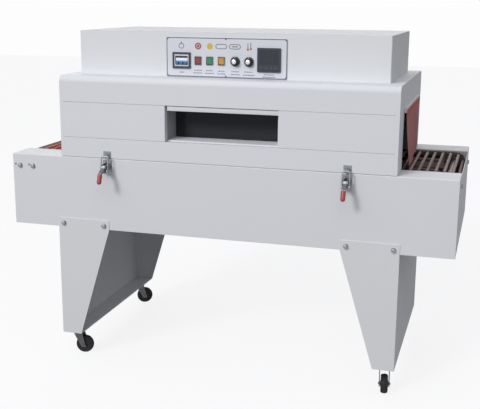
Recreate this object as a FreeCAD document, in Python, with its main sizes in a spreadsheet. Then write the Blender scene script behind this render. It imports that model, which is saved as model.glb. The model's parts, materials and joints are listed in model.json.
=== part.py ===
import FreeCAD, Part
import Sketcher
import math
import os

# Shrink wrapping machine: a heat tunnel on a conveyor base with two legs on casters.
# X runs along the conveyor towards the exit, Y from the front face to the back, Z up.
# The origin is on the floor, in the middle of the overall length and depth.

SIZES = {
    # overall form
    "machine_length": 1416,
    "base_depth": 624,
    "base_height": 232,
    "leg_height": 366,
    "caster_height": 85,
    "front_face_y": -282,
    "sheet_wall": 1.5,
    "edge_round": 3,
    "seam_gap": 1.2,
    # base and its rims
    "rim_width": 112,
    "rim_drop": 150,
    "bottom_lip": 20,
    # hood
    "hood_length": 1064,
    "hood_height": 257,
    "hood_round": 20,
    "end_return": 12,
    "seam_low": 63,
    "seam_high": 174,
    "ceiling_height": 215,
    "ceiling_wall": 1.5,
    # window
    "window_length": 358,
    "window_step": 19,
    "window_depth": 94,
    "window_top_bar": 13,
    "window_bottom_bar": 4,
    "window_left_bar": 2,
    "window_right_bar": 6,
    "glass_thickness": 4,
    # legs
    "leg_inset": 158,
    "leg_top_width": 177,
    "leg_foot_width": 66,
    "leg_overlap": 30,
    "leg_wall": 2,
    "leg_foot_wall": 3,
    "leg_bolt_inset": 18,
    "leg_bolt_rise": 12.5,
    # hexagon bolts
    "bolt_radius": 4,
    "bolt_hole_play": 0.5,
    "bolt_head_radius": 7,
    "bolt_head_height": 5,
    "washer_radius": 8,
    "washer_thickness": 1.6,
    "bolt_reach": 14,
    # conveyor
    "conveyor_drop": 3,
    "end_plate_drop": 8,
    "chain_pitch": 12.7,
    "sprocket_teeth": 14,
    "sprocket_thickness": 7,
    "hub_radius": 18,
    "hub_length": 14,
    "chain_height": 11.8,
    "chain_plate": 2,
    "chain_gap": 7.8,
    "chain_inset": 12,
    "sleeve_diameter": 10,
    "end_clearance": 6.5,
    "shaft_radius": 10,
    "running_play": 0.05,
    "bearing_size": 56,
    "bearing_thickness": 14,
    "wall_hole_radius": 13,
    "take_up_travel": 24,
    "rail_wall": 2,
    "rail_rest": 0.3,
    "rail_height": 14,
    "rod_rail_width": 20,
    "rod_rail_height": 8,
    "rod_rail_offset": 90,
    "cross_tie_spacing": 420,
    "cross_tie_width": 16,
    # gear motor
    "gearbox_size": 58,
    "gearbox_width": 66,
    "motor_radius": 38,
    "motor_length": 150,
    "gearbox_foot": 8,
    "gearbox_foot_height": 60,
    "drive_bolt_spacing": 46,
    "drive_bolt_drop": 38,
    "drive_bolt_offset": 7,
    # heaters
    "heater_radius": 7,
    "heater_spacing": 185,
    "upper_heater_height": 193,
    # casters
    "caster_inset": 48,
    "wheel_radius": 30,
    "wheel_width": 22,
    "wheel_hub_width": 25,
    "wheel_hub_radius": 10,
    "axle_radius": 4,
    "caster_trail": 20,
    "fork_wall": 2.5,
    "fork_side_play": 1,
    "fork_top_radius": 21,
    "plate_length": 60,
    "plate_width": 52,
    "plate_thickness": 3,
    "race_radius": 19,
    "race_height": 6,
    "king_pin_radius": 5,
    "king_head_radius": 8,
    "king_head_height": 2.5,
    "race_play": 0.3,
    # latch clamps
    "clamp_left_inset": 159,
    "clamp_right_inset": 144,
    "clamp_plate_width": 30,
    "clamp_plate_wall": 2.5,
    "clamp_ear_wall": 2.5,
    "clamp_ear_gap": 11,
    "clamp_pivot_out": 30,
    "clamp_pivot_drop": 22,
    "clamp_pin_radius": 3,
    "lever_play": 0.4,
    "hook_pivot_in": 4,
    "hook_pivot_drop": 13,
    "hook_rod_radius": 2,
    "hook_bar_radius": 2.3,
    "hook_half_width": 11,
    "hook_pin_radius": 2.5,
    "hook_eye_radius": 5,
    "hook_eye_width": 5,
    "lip_reach": 17,
    "lip_width": 14,
    "lip_rest": 0.4,
    "hook_rise": 10,
    "lever_knee_out": 27,
    "lever_knee_drop": 16,
    "lever_tongue": 14,
    "grip_tilt": 18.4,
    "grip_mouth": 2,
    "grip_radius": 7.5,
    "grip_length": 32,
    # rear hinges
    "hinge_spacing": 700,
    "hinge_width": 64,
    "hinge_leaf_height": 40,
    "hinge_leaf_wall": 2.5,
    "knuckle_radius": 6.5,
    "knuckle_stand_off": 0.4,
    "hinge_pin_radius": 3,
    "knuckle_play": 0.4,
    # circulation fan
    "fan_radius": 95,
    "fan_hub_radius": 22,
    "fan_disc_wall": 2,
    "fan_blade_height": 24,
    "fan_blade_length": 48,
    "fan_blade_wall": 2,
    "fan_blades": 10,
    "fan_drop": 8,
    "fan_shaft_radius": 5,
    "fan_shaft_grip": 30,
    "fan_motor_radius": 55,
    "fan_motor_height": 84,
    "fan_plate_size": 150,
    "fan_plate_wall": 3,
    "shaft_hole_radius": 9,
    # curtains
    "curtain_bar_depth": 8,
    "curtain_bar_rise": 12,
    "curtain_bar_sink": 5,
    "curtain_thickness": 1,
    "curtain_side_gap": 3,
    "curtain_lift": 8,
    "curtain_top_gap": 0.3,
    # control box and panel
    "box_length": 986,
    "box_depth": 465,
    "box_height": 136,
    "box_round": 4,
    "panel_length": 384,
    "panel_height": 120,
    "panel_wall": 2,
    "panel_shift": -8,
    "panel_rise": 1,
    "panel_margin": 11,
    "device_row": 51,
    "vent_width": 6,
    "vent_height": 60,
    "vent_count": 14,
    "vent_pitch": 16,
    "breaker_x": -150,
    "breaker_width": 58,
    "breaker_height": 49,
    "breaker_window_width": 46,
    "breaker_window_height": 36,
    "breaker_window_depth": 3,
    "breaker_proud": 5,
    "breaker_depth": 50,
    "toggle_radius": 9,
    "toggle_length": 12,
    "toggle_width": 38,
    "toggle_wall": 5,
    "rocker_red_x": -97,
    "rocker_spacing": 37.5,
    "rocker_width": 18,
    "rocker_height": 22,
    "rocker_frame": 2.5,
    "rocker_frame_proud": 2,
    "rocker_play": 0.4,
    "rocker_tilt": 8,
    "knob_speed_x": 22,
    "knob_fan_x": 65.5,
    "knob_skirt_radius": 15,
    "knob_skirt_height": 4,
    "knob_radius": 10.5,
    "knob_height": 16,
    "knob_spindle_radius": 3,
    "knob_rest": 0.3,
    "controller_x": 128,
    "controller_size": 72,
    "controller_bezel": 6,
    "controller_depth": 70,
    "controller_rise": 7,
    # cable gland
    "gland_inset": 240,
    "gland_rise": 60,
    "gland_radius": 9,
    "gland_length": 22,
    "gland_flange_radius": 14,
    "gland_flange": 6,
    "gland_bore": 5,
}

doc = FreeCAD.newDocument("shrink_wrapping_machine")
nodes = []


class Size:
    """A length that carries its formula in the sheet's names beside its value."""

    def __init__(self, text, value):
        self.text = text
        self.value = value

    def __add__(self, other):
        other = size_of(other)
        return Size(f"({self.text} + {other.text})", self.value + other.value)

    def __sub__(self, other):
        other = size_of(other)
        return Size(f"({self.text} - {other.text})", self.value - other.value)

    def __mul__(self, factor):
        factor = size_of(factor)
        return Size(f"({self.text} * {factor.text})", self.value * factor.value)

    def __truediv__(self, divisor):
        divisor = size_of(divisor)
        return Size(f"({self.text} / {divisor.text})", self.value / divisor.value)

    def __neg__(self):
        return Size(f"(0 - {self.text})", -self.value)


def size_of(number):
    if isinstance(number, Size):
        return number
    if number < 0:
        return Size(f"(0 - {-number:.6f})", float(number))
    return Size(f"{number:.6f}", float(number))


def make_sheet():
    sheet = doc.addObject("Spreadsheet::Sheet", "Sizes")
    for row, (name, value) in enumerate(SIZES.items(), start=1):
        sheet.set(f"A{row}", name)
        sheet.set(f"B{row}", str(value))
        sheet.setAlias(f"B{row}", name)
    doc.recompute()
    return sheet


class Sheet:
    """Gives each cell of the sheet as a size, by its name."""

    def __init__(self, sheet):
        self.sheet = sheet

    def __getattr__(self, name):
        return Size(f"Sizes.{name}", float(self.sheet.get(name)))


s = Sheet(make_sheet())
ZERO = size_of(0)


# Helpers that make bound solids

PLANE_TURN = {
    "XY": FreeCAD.Rotation(0, 0, 0, 1),
    "XZ": FreeCAD.Rotation(FreeCAD.Vector(1, 0, 0), 90),
    "YZ": FreeCAD.Rotation(0.5, 0.5, 0.5, 0.5),
}
PLANE_NORMAL = {"XY": (0, 0, 1), "XZ": (0, 1, 0), "YZ": (1, 0, 0)}
PLANE_OFFSET = {"XY": "z", "XZ": "y", "YZ": "x"}
AXIS_TURN = {
    "X": FreeCAD.Rotation(FreeCAD.Vector(0, 1, 0), 90),
    "Y": FreeCAD.Rotation(FreeCAD.Vector(1, 0, 0), -90),
    "Z": FreeCAD.Rotation(0, 0, 0, 1),
}


def bind(item, prop, length):
    item.setExpression(prop, size_of(length).text)


def place(item, x, y, z):
    for axis, length in zip("xyz", (x, y, z)):
        bind(item, f"Placement.Base.{axis}", length)


def node(name, item):
    """Makes an object one of the machine's named pieces."""
    item.Label = name
    nodes.append(item)
    return item


def box(x, y, z):
    """A block between three (low, high) pairs."""
    item = doc.addObject("Part::Box", "block")
    for prop, (low, high) in zip(("Length", "Width", "Height"), (x, y, z)):
        bind(item, prop, high - low)
    place(item, x[0], y[0], z[0])
    return item


def cylinder(axis, radius, start, length):
    """A round bar from the point start, along a row axis."""
    item = doc.addObject("Part::Cylinder", "round")
    item.Placement = FreeCAD.Placement(FreeCAD.Vector(), AXIS_TURN[axis])
    bind(item, "Radius", radius)
    bind(item, "Height", length)
    place(item, *start)
    return item


def hexagon(axis, radius, start, length):
    item = doc.addObject("Part::Prism", "hexagon")
    item.Polygon = 6
    item.Placement = FreeCAD.Placement(FreeCAD.Vector(), AXIS_TURN[axis])
    bind(item, "Circumradius", radius)
    bind(item, "Height", length)
    place(item, *start)
    return item


def fuse(items):
    if len(items) == 1:
        return items[0]
    item = doc.addObject("Part::MultiFuse", "joined")
    item.Shapes = items
    item.Refine = True
    return item


def group(items):
    """Keeps like pieces as separate solids of one node."""
    item = doc.addObject("Part::Compound", "group")
    item.Links = items
    return item


def cut(base, tools):
    item = doc.addObject("Part::Cut", "trimmed")
    item.Base = base
    item.Tool = fuse(tools)
    item.Refine = True
    return item


def mirror(item, axis, at=ZERO):
    """The same piece on the other side of the plane across axis at a place."""
    twin = doc.addObject("Part::Mirroring", "mirrored")
    twin.Source = item
    twin.Normal = FreeCAD.Vector(axis == "x", axis == "y", axis == "z")
    bind(twin, f"Base.{axis}", at)
    return twin


def placed(item, x, y, z, heading=0):
    """A copy of a piece that was made at the origin, turned about the vertical and moved."""
    copy = doc.addObject("Part::Compound", "placed")
    copy.Links = [item]
    copy.Placement.Rotation = FreeCAD.Rotation(FreeCAD.Vector(0, 0, 1), heading)
    place(copy, x, y, z)
    return copy


def across(middle, half):
    """The (low, high) pair of a piece that lies half to each side of a middle."""
    return middle - half, middle + half


def tie(sketch, kind, geometry, point, length):
    """Holds one coordinate of a sketch point at a bound distance from the sketch's origin."""
    number = sketch.addConstraint(
        Sketcher.Constraint(kind, -1, 1, geometry, point, length.value)
    )
    sketch.setExpression(f"Constraints[{number}]", length.text)


def unit(a, b):
    length = math.hypot(b[0] - a[0], b[1] - a[1])
    return ((b[0] - a[0]) / length, (b[1] - a[1]) / length)


def tangent_points(corner, before, after):
    """Where a square corner's round meets its two sides, as bound points."""
    u, v, radius = corner
    points = []
    for other in (before, after):
        du, dv = unit((u.value, v.value), (other[0].value, other[1].value))
        points.append((u + radius * round(du), v + radius * round(dv)))
    return points


def outline(sketch, corners):
    """A closed outline of straight sides. A corner is (u, v), or (u, v, radius) where it is rounded."""
    corners = [tuple(size_of(c) for c in corner) for corner in corners]
    count = len(corners)
    ends = []
    for i, corner in enumerate(corners):
        if len(corner) == 2:
            ends.append((corner, corner))
        else:
            ends.append(tangent_points(corner, corners[i - 1], corners[(i + 1) % count]))
    lines = []
    for i in range(count):
        start, end = ends[i][1], ends[(i + 1) % count][0]
        lines.append(
            sketch.addGeometry(
                Part.LineSegment(
                    FreeCAD.Vector(start[0].value, start[1].value, 0),
                    FreeCAD.Vector(end[0].value, end[1].value, 0),
                )
            )
        )
        tie(sketch, "DistanceX", lines[-1], 1, start[0])
        tie(sketch, "DistanceY", lines[-1], 1, start[1])
    for i, corner in enumerate(corners):
        into, out_of = lines[i - 1], lines[i]
        if len(corner) == 2:
            sketch.addConstraint(Sketcher.Constraint("Coincident", into, 2, out_of, 1))
            continue
        tie(sketch, "DistanceX", into, 2, ends[i][0][0])
        tie(sketch, "DistanceY", into, 2, ends[i][0][1])
        add_round(sketch, corner[2], ends[i], into, out_of, corner)


def add_round(sketch, radius, ends, into, out_of, corner):
    first = (ends[0][0].value, ends[0][1].value)
    last = (ends[1][0].value, ends[1][1].value)
    middle = (
        first[0] + last[0] - corner[0].value,
        first[1] + last[1] - corner[1].value,
    )
    angles = [math.atan2(p[1] - middle[1], p[0] - middle[0]) for p in (first, last)]
    clockwise = (angles[1] - angles[0]) % (2 * math.pi) > math.pi
    if clockwise:
        angles.reverse()
    circle = Part.Circle(
        FreeCAD.Vector(*middle, 0), FreeCAD.Vector(0, 0, 1), radius.value
    )
    arc = sketch.addGeometry(Part.ArcOfCircle(circle, *angles))
    first_point, last_point = (2, 1) if clockwise else (1, 2)
    sketch.addConstraint(Sketcher.Constraint("Coincident", into, 2, arc, first_point))
    sketch.addConstraint(Sketcher.Constraint("Coincident", out_of, 1, arc, last_point))
    number = sketch.addConstraint(Sketcher.Constraint("Radius", arc, radius.value))
    sketch.setExpression(f"Constraints[{number}]", radius.text)


def hole(sketch, u, v, radius):
    u, v, radius = size_of(u), size_of(v), size_of(radius)
    circle = sketch.addGeometry(
        Part.Circle(
            FreeCAD.Vector(u.value, v.value, 0), FreeCAD.Vector(0, 0, 1), radius.value
        )
    )
    tie(sketch, "DistanceX", circle, 3, u)
    tie(sketch, "DistanceY", circle, 3, v)
    number = sketch.addConstraint(Sketcher.Constraint("Radius", circle, radius.value))
    sketch.setExpression(f"Constraints[{number}]", radius.text)


def prism(plane, corners, low, high, holes=(), cutouts=()):
    """A profile drawn on a plane and drawn out along its normal from low to high."""
    sketch = doc.addObject("Sketcher::SketchObject", "profile")
    sketch.Placement = FreeCAD.Placement(FreeCAD.Vector(), PLANE_TURN[plane])
    bind(sketch, f"Placement.Base.{PLANE_OFFSET[plane]}", low)
    outline(sketch, corners)
    for place_and_radius in holes:
        hole(sketch, *place_and_radius)
    for inner in cutouts:
        outline(sketch, inner)
    item = doc.addObject("Part::Extrusion", "prism")
    item.Base = sketch
    item.DirMode = "Custom"
    item.Dir = FreeCAD.Vector(*PLANE_NORMAL[plane])
    item.Solid = True
    item.FaceMakerClass = "Part::FaceMakerBullseye"
    bind(item, "LengthFwd", size_of(high) - low)
    return item


def new_body(name):
    return doc.addObject("PartDesign::Body", name)


def body_sketch(body, role):
    sketch = body.newObject("Sketcher::SketchObject", "profile")
    plane = [f for f in body.Origin.OriginFeatures if f.Role == role][0]
    sketch.AttachmentSupport = (plane, [""])
    sketch.MapMode = "FlatFace"
    return sketch


def revolve(name, role, corners, axis):
    """A turned piece: a profile swung round an axis of its own sketch."""
    body = new_body(name)
    sketch = body_sketch(body, role)
    outline(sketch, corners)
    turned = body.newObject("PartDesign::Revolution", "turned")
    turned.Profile = sketch
    turned.ReferenceAxis = (sketch, [axis])
    turned.Angle = 360
    return body


def hex_bolt(axis, head_at, reach=None):
    """A hexagon bolt with its washer. The head stands towards minus axis, the shank goes along it."""
    step = {"X": (1, 0, 0), "Y": (0, 1, 0)}[axis]
    washer = cylinder(axis, s.washer_radius, along(head_at, step, -s.washer_thickness), s.washer_thickness)
    head_back = s.washer_thickness + s.bolt_head_height
    head = hexagon(axis, s.bolt_head_radius, along(head_at, step, -head_back), s.bolt_head_height)
    shank = cylinder(axis, s.bolt_radius, head_at, reach or s.bolt_reach)
    return fuse([washer, head, shank])


def along(point, step, length):
    return tuple(size_of(p) + length * k for p, k in zip(point, step))


# Heights, faces and centre lines that the pieces share

half_length = s.machine_length / 2
front = s.front_face_y
back = front + s.base_depth
middle_y = front + s.base_depth / 2
leg_bottom = s.caster_height
base_bottom = leg_bottom + s.leg_height
rim_top = base_bottom + s.base_height
inner_front = front + s.rim_width
inner_back = back - s.rim_width
panel_end = half_length - s.sheet_wall
wall = s.sheet_wall

hood_bottom = rim_top + s.seam_gap
hood_top = rim_top + s.hood_height
hood_half = s.hood_length / 2
hood_inner_end = hood_half - s.end_return
low_seam = rim_top + s.seam_low
high_seam = rim_top + s.seam_high
ceiling = rim_top + s.ceiling_height
ceiling_top = ceiling + s.ceiling_wall

hole_radius = s.bolt_radius + s.bolt_hole_play

# The chain loop: two straight runs round two sprockets whose centres lie a whole number of pitches apart
pitch_radius_number = s.chain_pitch.value / (2 * math.sin(math.pi / s.sprocket_teeth.value))
pitch_radius = s.chain_pitch / (size_of(2) * size_of(math.sin(math.pi / s.sprocket_teeth.value)))
reach_number = pitch_radius_number + s.chain_height.value / 2 + s.end_clearance.value
pitches = math.floor((s.machine_length.value - 2 * reach_number) / s.chain_pitch.value)
shaft_x = s.chain_pitch * pitches / 2
run_z = rim_top - s.conveyor_drop - s.sleeve_diameter / 2
shaft_z = run_z - pitch_radius
return_z = run_z - pitch_radius * 2


# Base: two bent side panels with wide rims, a floor tray and an end plate at each end

def leg_bolt_places():
    """Bolt centres along X on one side, from the left leg to the right one."""
    outer = -half_length + s.leg_inset
    first = outer + s.leg_bolt_inset
    second = outer + s.leg_top_width - s.leg_bolt_inset
    return [first, second, -second, -first]


bolt_z = base_bottom + s.leg_bolt_rise
drive_bolt_z = rim_top - s.drive_bolt_drop
drive_foot_x = -shaft_x + s.drive_bolt_offset
drive_bolt_xs = [drive_foot_x - s.drive_bolt_spacing / 2, drive_foot_x + s.drive_bolt_spacing / 2]
wall_start = inner_front - wall


def shaft_holes():
    """The way through the inner walls: round for the drive shaft, a slot for the take-up shaft."""
    depth = wall * 3
    at = wall_start - wall
    drive = cylinder("Y", s.wall_hole_radius, (-shaft_x, at, shaft_z), depth)
    slot_ends = [
        cylinder("Y", s.wall_hole_radius, (shaft_x + s.take_up_travel / 2 * side, at, shaft_z), depth)
        for side in (-1, 1)
    ]
    slot = box(
        (shaft_x - s.take_up_travel / 2, shaft_x + s.take_up_travel / 2),
        (at, at + depth),
        (shaft_z - s.wall_hole_radius, shaft_z + s.wall_hole_radius),
    )
    return [drive, slot, *slot_ends]


def bolt_holes(xs, z):
    return [cylinder("Y", hole_radius, (x, front - wall, z), wall * 3) for x in xs]


def side_panel(extra_holes):
    corners = [
        (front, base_bottom),
        (front + s.bottom_lip, base_bottom),
        (front + s.bottom_lip, base_bottom + wall),
        (front + wall, base_bottom + wall),
        (front + wall, rim_top - wall, s.edge_round - wall),
        (inner_front - wall, rim_top - wall, s.edge_round - wall),
        (inner_front - wall, rim_top - s.rim_drop),
        (inner_front, rim_top - s.rim_drop),
        (inner_front, rim_top, s.edge_round),
        (front, rim_top, s.edge_round),
    ]
    sheet_part = prism("YZ", corners, -panel_end, panel_end)
    return cut(sheet_part, shaft_holes() + bolt_holes(leg_bolt_places(), bolt_z) + extra_holes)


node("base_front_panel", side_panel(bolt_holes(drive_bolt_xs, drive_bolt_z)))
gland_x = half_length - s.gland_inset
gland_z = base_bottom + s.gland_rise
gland_hole = cylinder("Y", s.gland_radius + s.bolt_hole_play, (gland_x, front - wall, gland_z), wall * 3)
node("base_back_panel", mirror(side_panel([gland_hole]), "y", middle_y))

node(
    "base_floor_tray",
    box(
        (-panel_end, panel_end),
        (front + wall, back - wall),
        (base_bottom + wall, base_bottom + wall * 2),
    ),
)

take_up_y = wall_start - s.bearing_thickness / 2
end_plate_corners = [
    (front, base_bottom),
    (back, base_bottom),
    (back, rim_top, s.edge_round),
    (inner_back, rim_top, s.edge_round),
    (inner_back, rim_top - s.end_plate_drop),
    (inner_front, rim_top - s.end_plate_drop),
    (inner_front, rim_top, s.edge_round),
    (front, rim_top, s.edge_round),
]
take_up_z = shaft_z
take_up_ys = [take_up_y, middle_y * 2 - take_up_y]
right_end = prism(
    "YZ",
    end_plate_corners,
    panel_end,
    half_length,
    holes=[(y, take_up_z, hole_radius) for y in take_up_ys],
)
left_end = prism("YZ", end_plate_corners, -half_length, -panel_end)
node("base_end_plates", group([left_end, right_end]))


# Legs: a web across the machine, a tapering flange in front and behind, and a foot plate

def leg():
    """The left leg, at the left end."""
    outer = -half_length + s.leg_inset
    flange = [
        (outer, leg_bottom),
        (outer + s.leg_foot_width, leg_bottom),
        (outer + s.leg_top_width, base_bottom),
        (outer + s.leg_top_width, base_bottom + s.leg_overlap),
        (outer, base_bottom + s.leg_overlap),
    ]
    outer_y = front - s.leg_wall
    holes = [(x, bolt_z, hole_radius) for x in leg_bolt_places()[:2]]
    front_flange = prism("XZ", flange, outer_y, front, holes=holes)
    back_flange = mirror(front_flange, "y", middle_y)
    web = box((outer, outer + s.leg_wall), (front, back), (leg_bottom, base_bottom))
    foot = box(
        (outer + s.leg_wall, outer + s.leg_foot_width),
        (front, back),
        (leg_bottom, leg_bottom + s.leg_foot_wall),
    )
    return fuse([front_flange, back_flange, web, foot])


left_leg = node("leg_left", leg())
node("leg_right", mirror(left_leg, "x"))


# Hexagon bolts: eight hold the legs, two hold the drive unit and two set the take-up shaft

def front_and_back(item):
    return [item, mirror(item, "y", middle_y)]


bolts = []
for bolt_x in leg_bolt_places():
    bolts += front_and_back(hex_bolt("Y", (bolt_x, front - s.leg_wall, bolt_z)))
for bolt_x in drive_bolt_xs:
    bolts.append(hex_bolt("Y", (bolt_x, front, drive_bolt_z), wall + s.gearbox_foot))
take_up_reach = half_length - shaft_x - s.bearing_size / 2
for bolt_y in take_up_ys:
    left_bolt = hex_bolt("X", (-half_length, bolt_y, take_up_z), take_up_reach)
    bolts.append(mirror(left_bolt, "x"))
node("hex_bolts", group(bolts))


# Conveyor: rods in rubber sleeves between two endless chains, on four sprockets and two shafts

def racetrack(radius):
    """Outline of a loop round both shafts, in the XZ plane, as a wire."""
    x, z, r = shaft_x.value, shaft_z.value, radius
    y = 0
    corner = {
        (a, b): FreeCAD.Vector(a * x, y, z + b * r) for a in (-1, 1) for b in (-1, 1)
    }
    far = {a: FreeCAD.Vector(a * (x + r), y, z) for a in (-1, 1)}
    edges = [
        Part.LineSegment(corner[-1, 1], corner[1, 1]).toShape(),
        Part.Arc(corner[1, 1], far[1], corner[1, -1]).toShape(),
        Part.LineSegment(corner[1, -1], corner[-1, -1]).toShape(),
        Part.Arc(corner[-1, -1], far[-1], corner[-1, 1]).toShape(),
    ]
    return Part.Wire(edges)


def chain_band(low_y):
    """One row of link plates, as a thin band round the loop."""
    radius, half_height = pitch_radius.value, s.chain_height.value / 2
    outer = Part.Face(racetrack(radius + half_height))
    inner = Part.Face(racetrack(radius - half_height))
    band = outer.cut(inner).extrude(FreeCAD.Vector(0, s.chain_plate.value, 0))
    band.translate(FreeCAD.Vector(0, low_y, 0))
    return band


def chains():
    middle = inner_front.value + s.chain_inset.value
    gap, plate = s.chain_gap.value / 2, s.chain_plate.value
    lows = [middle - gap - plate, middle + gap]
    twin = 2 * middle_y.value
    lows += [twin - low - plate for low in lows]
    return Part.makeCompound([chain_band(low) for low in lows])


def loop_point(distance):
    """Place and turn on the loop at a distance run from the top of the left sprocket."""
    x, z, r = shaft_x.value, shaft_z.value, pitch_radius.value
    straight, bend = 2 * x, math.pi * r
    distance %= 2 * (straight + bend)
    if distance < straight:
        return -x + distance, z + r, 0
    distance -= straight
    if distance < bend:
        angle = distance / r
        return x + r * math.sin(angle), z + r * math.cos(angle), angle
    distance -= bend
    if distance < straight:
        return x - distance, z - r, math.pi
    angle = (distance - straight) / r
    return -x - r * math.sin(angle), z - r * math.cos(angle), math.pi + angle


def rods():
    """Every second pitch carries a rod. Each rod with its sleeve is an eight-sided bar."""
    low = inner_front.value + s.chain_inset.value + s.chain_gap.value / 2 + s.chain_plate.value
    length = 2 * (middle_y.value - low)
    radius = s.sleeve_diameter.value / 2 / math.cos(math.pi / 8)
    loop = 2 * (2 * shaft_x.value + math.pi * pitch_radius.value)
    count = round(loop / (2 * s.chain_pitch.value))
    flat = math.pi / 8
    corners = [
        FreeCAD.Vector(
            radius * math.cos(flat + i * math.pi / 4), 0, radius * math.sin(flat + i * math.pi / 4)
        )
        for i in range(8)
    ]
    bar = Part.Face(Part.makePolygon(corners + corners[:1])).extrude(FreeCAD.Vector(0, length, 0))
    copies = []
    for i in range(count):
        x, z, angle = loop_point(i * loop / count)
        copy = bar.copy()
        copy.rotate(FreeCAD.Vector(), FreeCAD.Vector(0, 1, 0), math.degrees(angle))
        copy.translate(FreeCAD.Vector(x, low, z))
        copies.append(copy)
    return Part.makeCompound(copies)


def repeated(name, shape):
    item = doc.addObject("Part::Feature", "repeated")
    item.Shape = shape
    return node(name, item)


repeated("conveyor_chains", chains())
repeated("conveyor_rods", rods())


def sprocket():
    """A toothed disc with its hub, made at the origin with its axle along Y."""
    body = new_body("sprocket")
    blank = body_sketch(body, "XZ_Plane")
    tip = pitch_radius + s.chain_height * 0.3
    hole(blank, ZERO, ZERO, tip)
    hole(blank, ZERO, ZERO, s.shaft_radius)
    disc = body.newObject("PartDesign::Pad", "disc")
    disc.Profile = blank
    disc.Midplane = True
    bind(disc, "Length", s.sprocket_thickness)
    gap = body_sketch(body, "XZ_Plane")
    seat = s.chain_pitch * 0.16
    mouth = s.chain_pitch * 0.36
    outline(
        gap,
        [
            (-seat, pitch_radius - s.chain_height * 0.36),
            (seat, pitch_radius - s.chain_height * 0.36),
            (mouth, pitch_radius + s.chain_height * 0.4),
            (-mouth, pitch_radius + s.chain_height * 0.4),
        ],
    )
    notch = body.newObject("PartDesign::Pocket", "notch")
    notch.Profile = gap
    notch.Type = "ThroughAll"
    notch.Midplane = True
    ring = body.newObject("PartDesign::PolarPattern", "ring")
    ring.Originals = [notch]
    ring.Axis = (gap, ["N_Axis"])
    ring.Angle = 360
    ring.Occurrences = int(s.sprocket_teeth.value)
    body.Tip = ring
    return body


def sprocket_with_hub():
    hub = cylinder("Y", s.hub_radius, (ZERO, s.sprocket_thickness / 2, ZERO), s.hub_length)
    bore = cylinder("Y", s.shaft_radius, (ZERO, ZERO, ZERO), s.hub_length * 2)
    return fuse([sprocket(), cut(hub, [bore])])


sprocket_y = inner_front + s.chain_inset
front_right = placed(sprocket_with_hub(), shaft_x, sprocket_y, shaft_z)
front_left = mirror(front_right, "x")
node(
    "conveyor_sprockets",
    group(front_and_back(front_right) + front_and_back(front_left)),
)

bearing_face = inner_front - wall
shaft_end = bearing_face - s.bearing_thickness
gearbox_low_y = front + wall + s.gearbox_foot
shaft_length = (middle_y - shaft_end) * 2
take_up_shaft = cylinder("Y", s.shaft_radius, (shaft_x, shaft_end, shaft_z), shaft_length)
drive_shaft = cylinder(
    "Y",
    s.shaft_radius,
    (-shaft_x, gearbox_low_y + s.gearbox_foot, shaft_z),
    shaft_length + (shaft_end - gearbox_low_y - s.gearbox_foot),
)
node("conveyor_shafts", group([drive_shaft, take_up_shaft]))


def bearing(x):
    """A square flange bearing on the outside of the front inner wall."""
    half = s.bearing_size / 2
    return prism(
        "XZ",
        [
            (x - half, shaft_z - half, s.washer_radius),
            (x + half, shaft_z - half, s.washer_radius),
            (x + half, shaft_z + half, s.washer_radius),
            (x - half, shaft_z + half, s.washer_radius),
        ],
        bearing_face - s.bearing_thickness,
        bearing_face,
        holes=[(x, shaft_z, s.shaft_radius + s.running_play)],
    )


node("shaft_bearings", group(front_and_back(bearing(shaft_x)) + front_and_back(bearing(-shaft_x))))


def gear_motor():
    """Hollow-shaft worm gearbox on the drive shaft, with its motor along the front panel."""
    half = s.gearbox_size / 2
    low_y, high_y = gearbox_low_y, gearbox_low_y + s.gearbox_width
    housing = box(
        (-shaft_x - half, -shaft_x + half), (low_y, high_y), (shaft_z - half, shaft_z + half)
    )
    foot_half = s.drive_bolt_spacing / 2 + s.washer_radius
    foot = box(
        (drive_foot_x - foot_half, drive_foot_x + foot_half),
        (front + wall, gearbox_low_y),
        across(drive_bolt_z, s.gearbox_foot_height / 2),
    )
    motor_z = shaft_z - half / 2
    motor_y = low_y + s.motor_radius + s.gearbox_foot / 4
    motor = cylinder("X", s.motor_radius, (-shaft_x + half, motor_y, motor_z), s.motor_length)
    bore = cylinder(
        "Y",
        s.shaft_radius + s.running_play,
        (-shaft_x, gearbox_low_y + s.gearbox_foot - s.running_play, shaft_z),
        s.gearbox_width,
    )
    foot_holes = [
        cylinder("Y", hole_radius, (x, front, drive_bolt_z), wall + s.gearbox_foot)
        for x in drive_bolt_xs
    ]
    return cut(fuse([housing, foot, motor]), [bore] + foot_holes)


node("gear_motor", gear_motor())


def chain_guide(z):
    """An angle on the front inner wall that carries a chain run at height z."""
    half = shaft_x - pitch_radius - s.chain_height
    top = z - s.chain_height / 2 - s.rail_rest
    reach = s.chain_inset + s.chain_gap / 2 + s.chain_plate
    corners = [
        (inner_front, top),
        (inner_front + reach, top),
        (inner_front + reach, top - s.rail_wall),
        (inner_front + s.rail_wall, top - s.rail_wall),
        (inner_front + s.rail_wall, top - s.rail_height),
        (inner_front, top - s.rail_height),
    ]
    return prism("YZ", corners, -half, half)


rod_rail_top = run_z - s.sleeve_diameter / 2 - s.rail_rest
rod_rail_low = rod_rail_top - s.rod_rail_height
rod_rail_ys = [middle_y - s.rod_rail_offset, middle_y + s.rod_rail_offset]


def rod_rail(y):
    """A flat bar that the rods slide on."""
    half = shaft_x - pitch_radius - s.chain_height
    return box((-half, half), across(y, s.rod_rail_width / 2), (rod_rail_low, rod_rail_top))


def cross_tie(x):
    """A bar between the inner walls, under the guides, with a block under each rod rail."""
    high = run_z - s.chain_height / 2 - s.rail_rest - s.rail_height
    low = high - s.rod_rail_height
    tie_x = across(x, s.cross_tie_width / 2)
    bar = box(tie_x, (inner_front, inner_back), (low, high))
    blocks = [box(tie_x, across(y, s.cross_tie_width / 2), (low, rod_rail_low)) for y in rod_rail_ys]
    return fuse([bar, *blocks])


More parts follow.
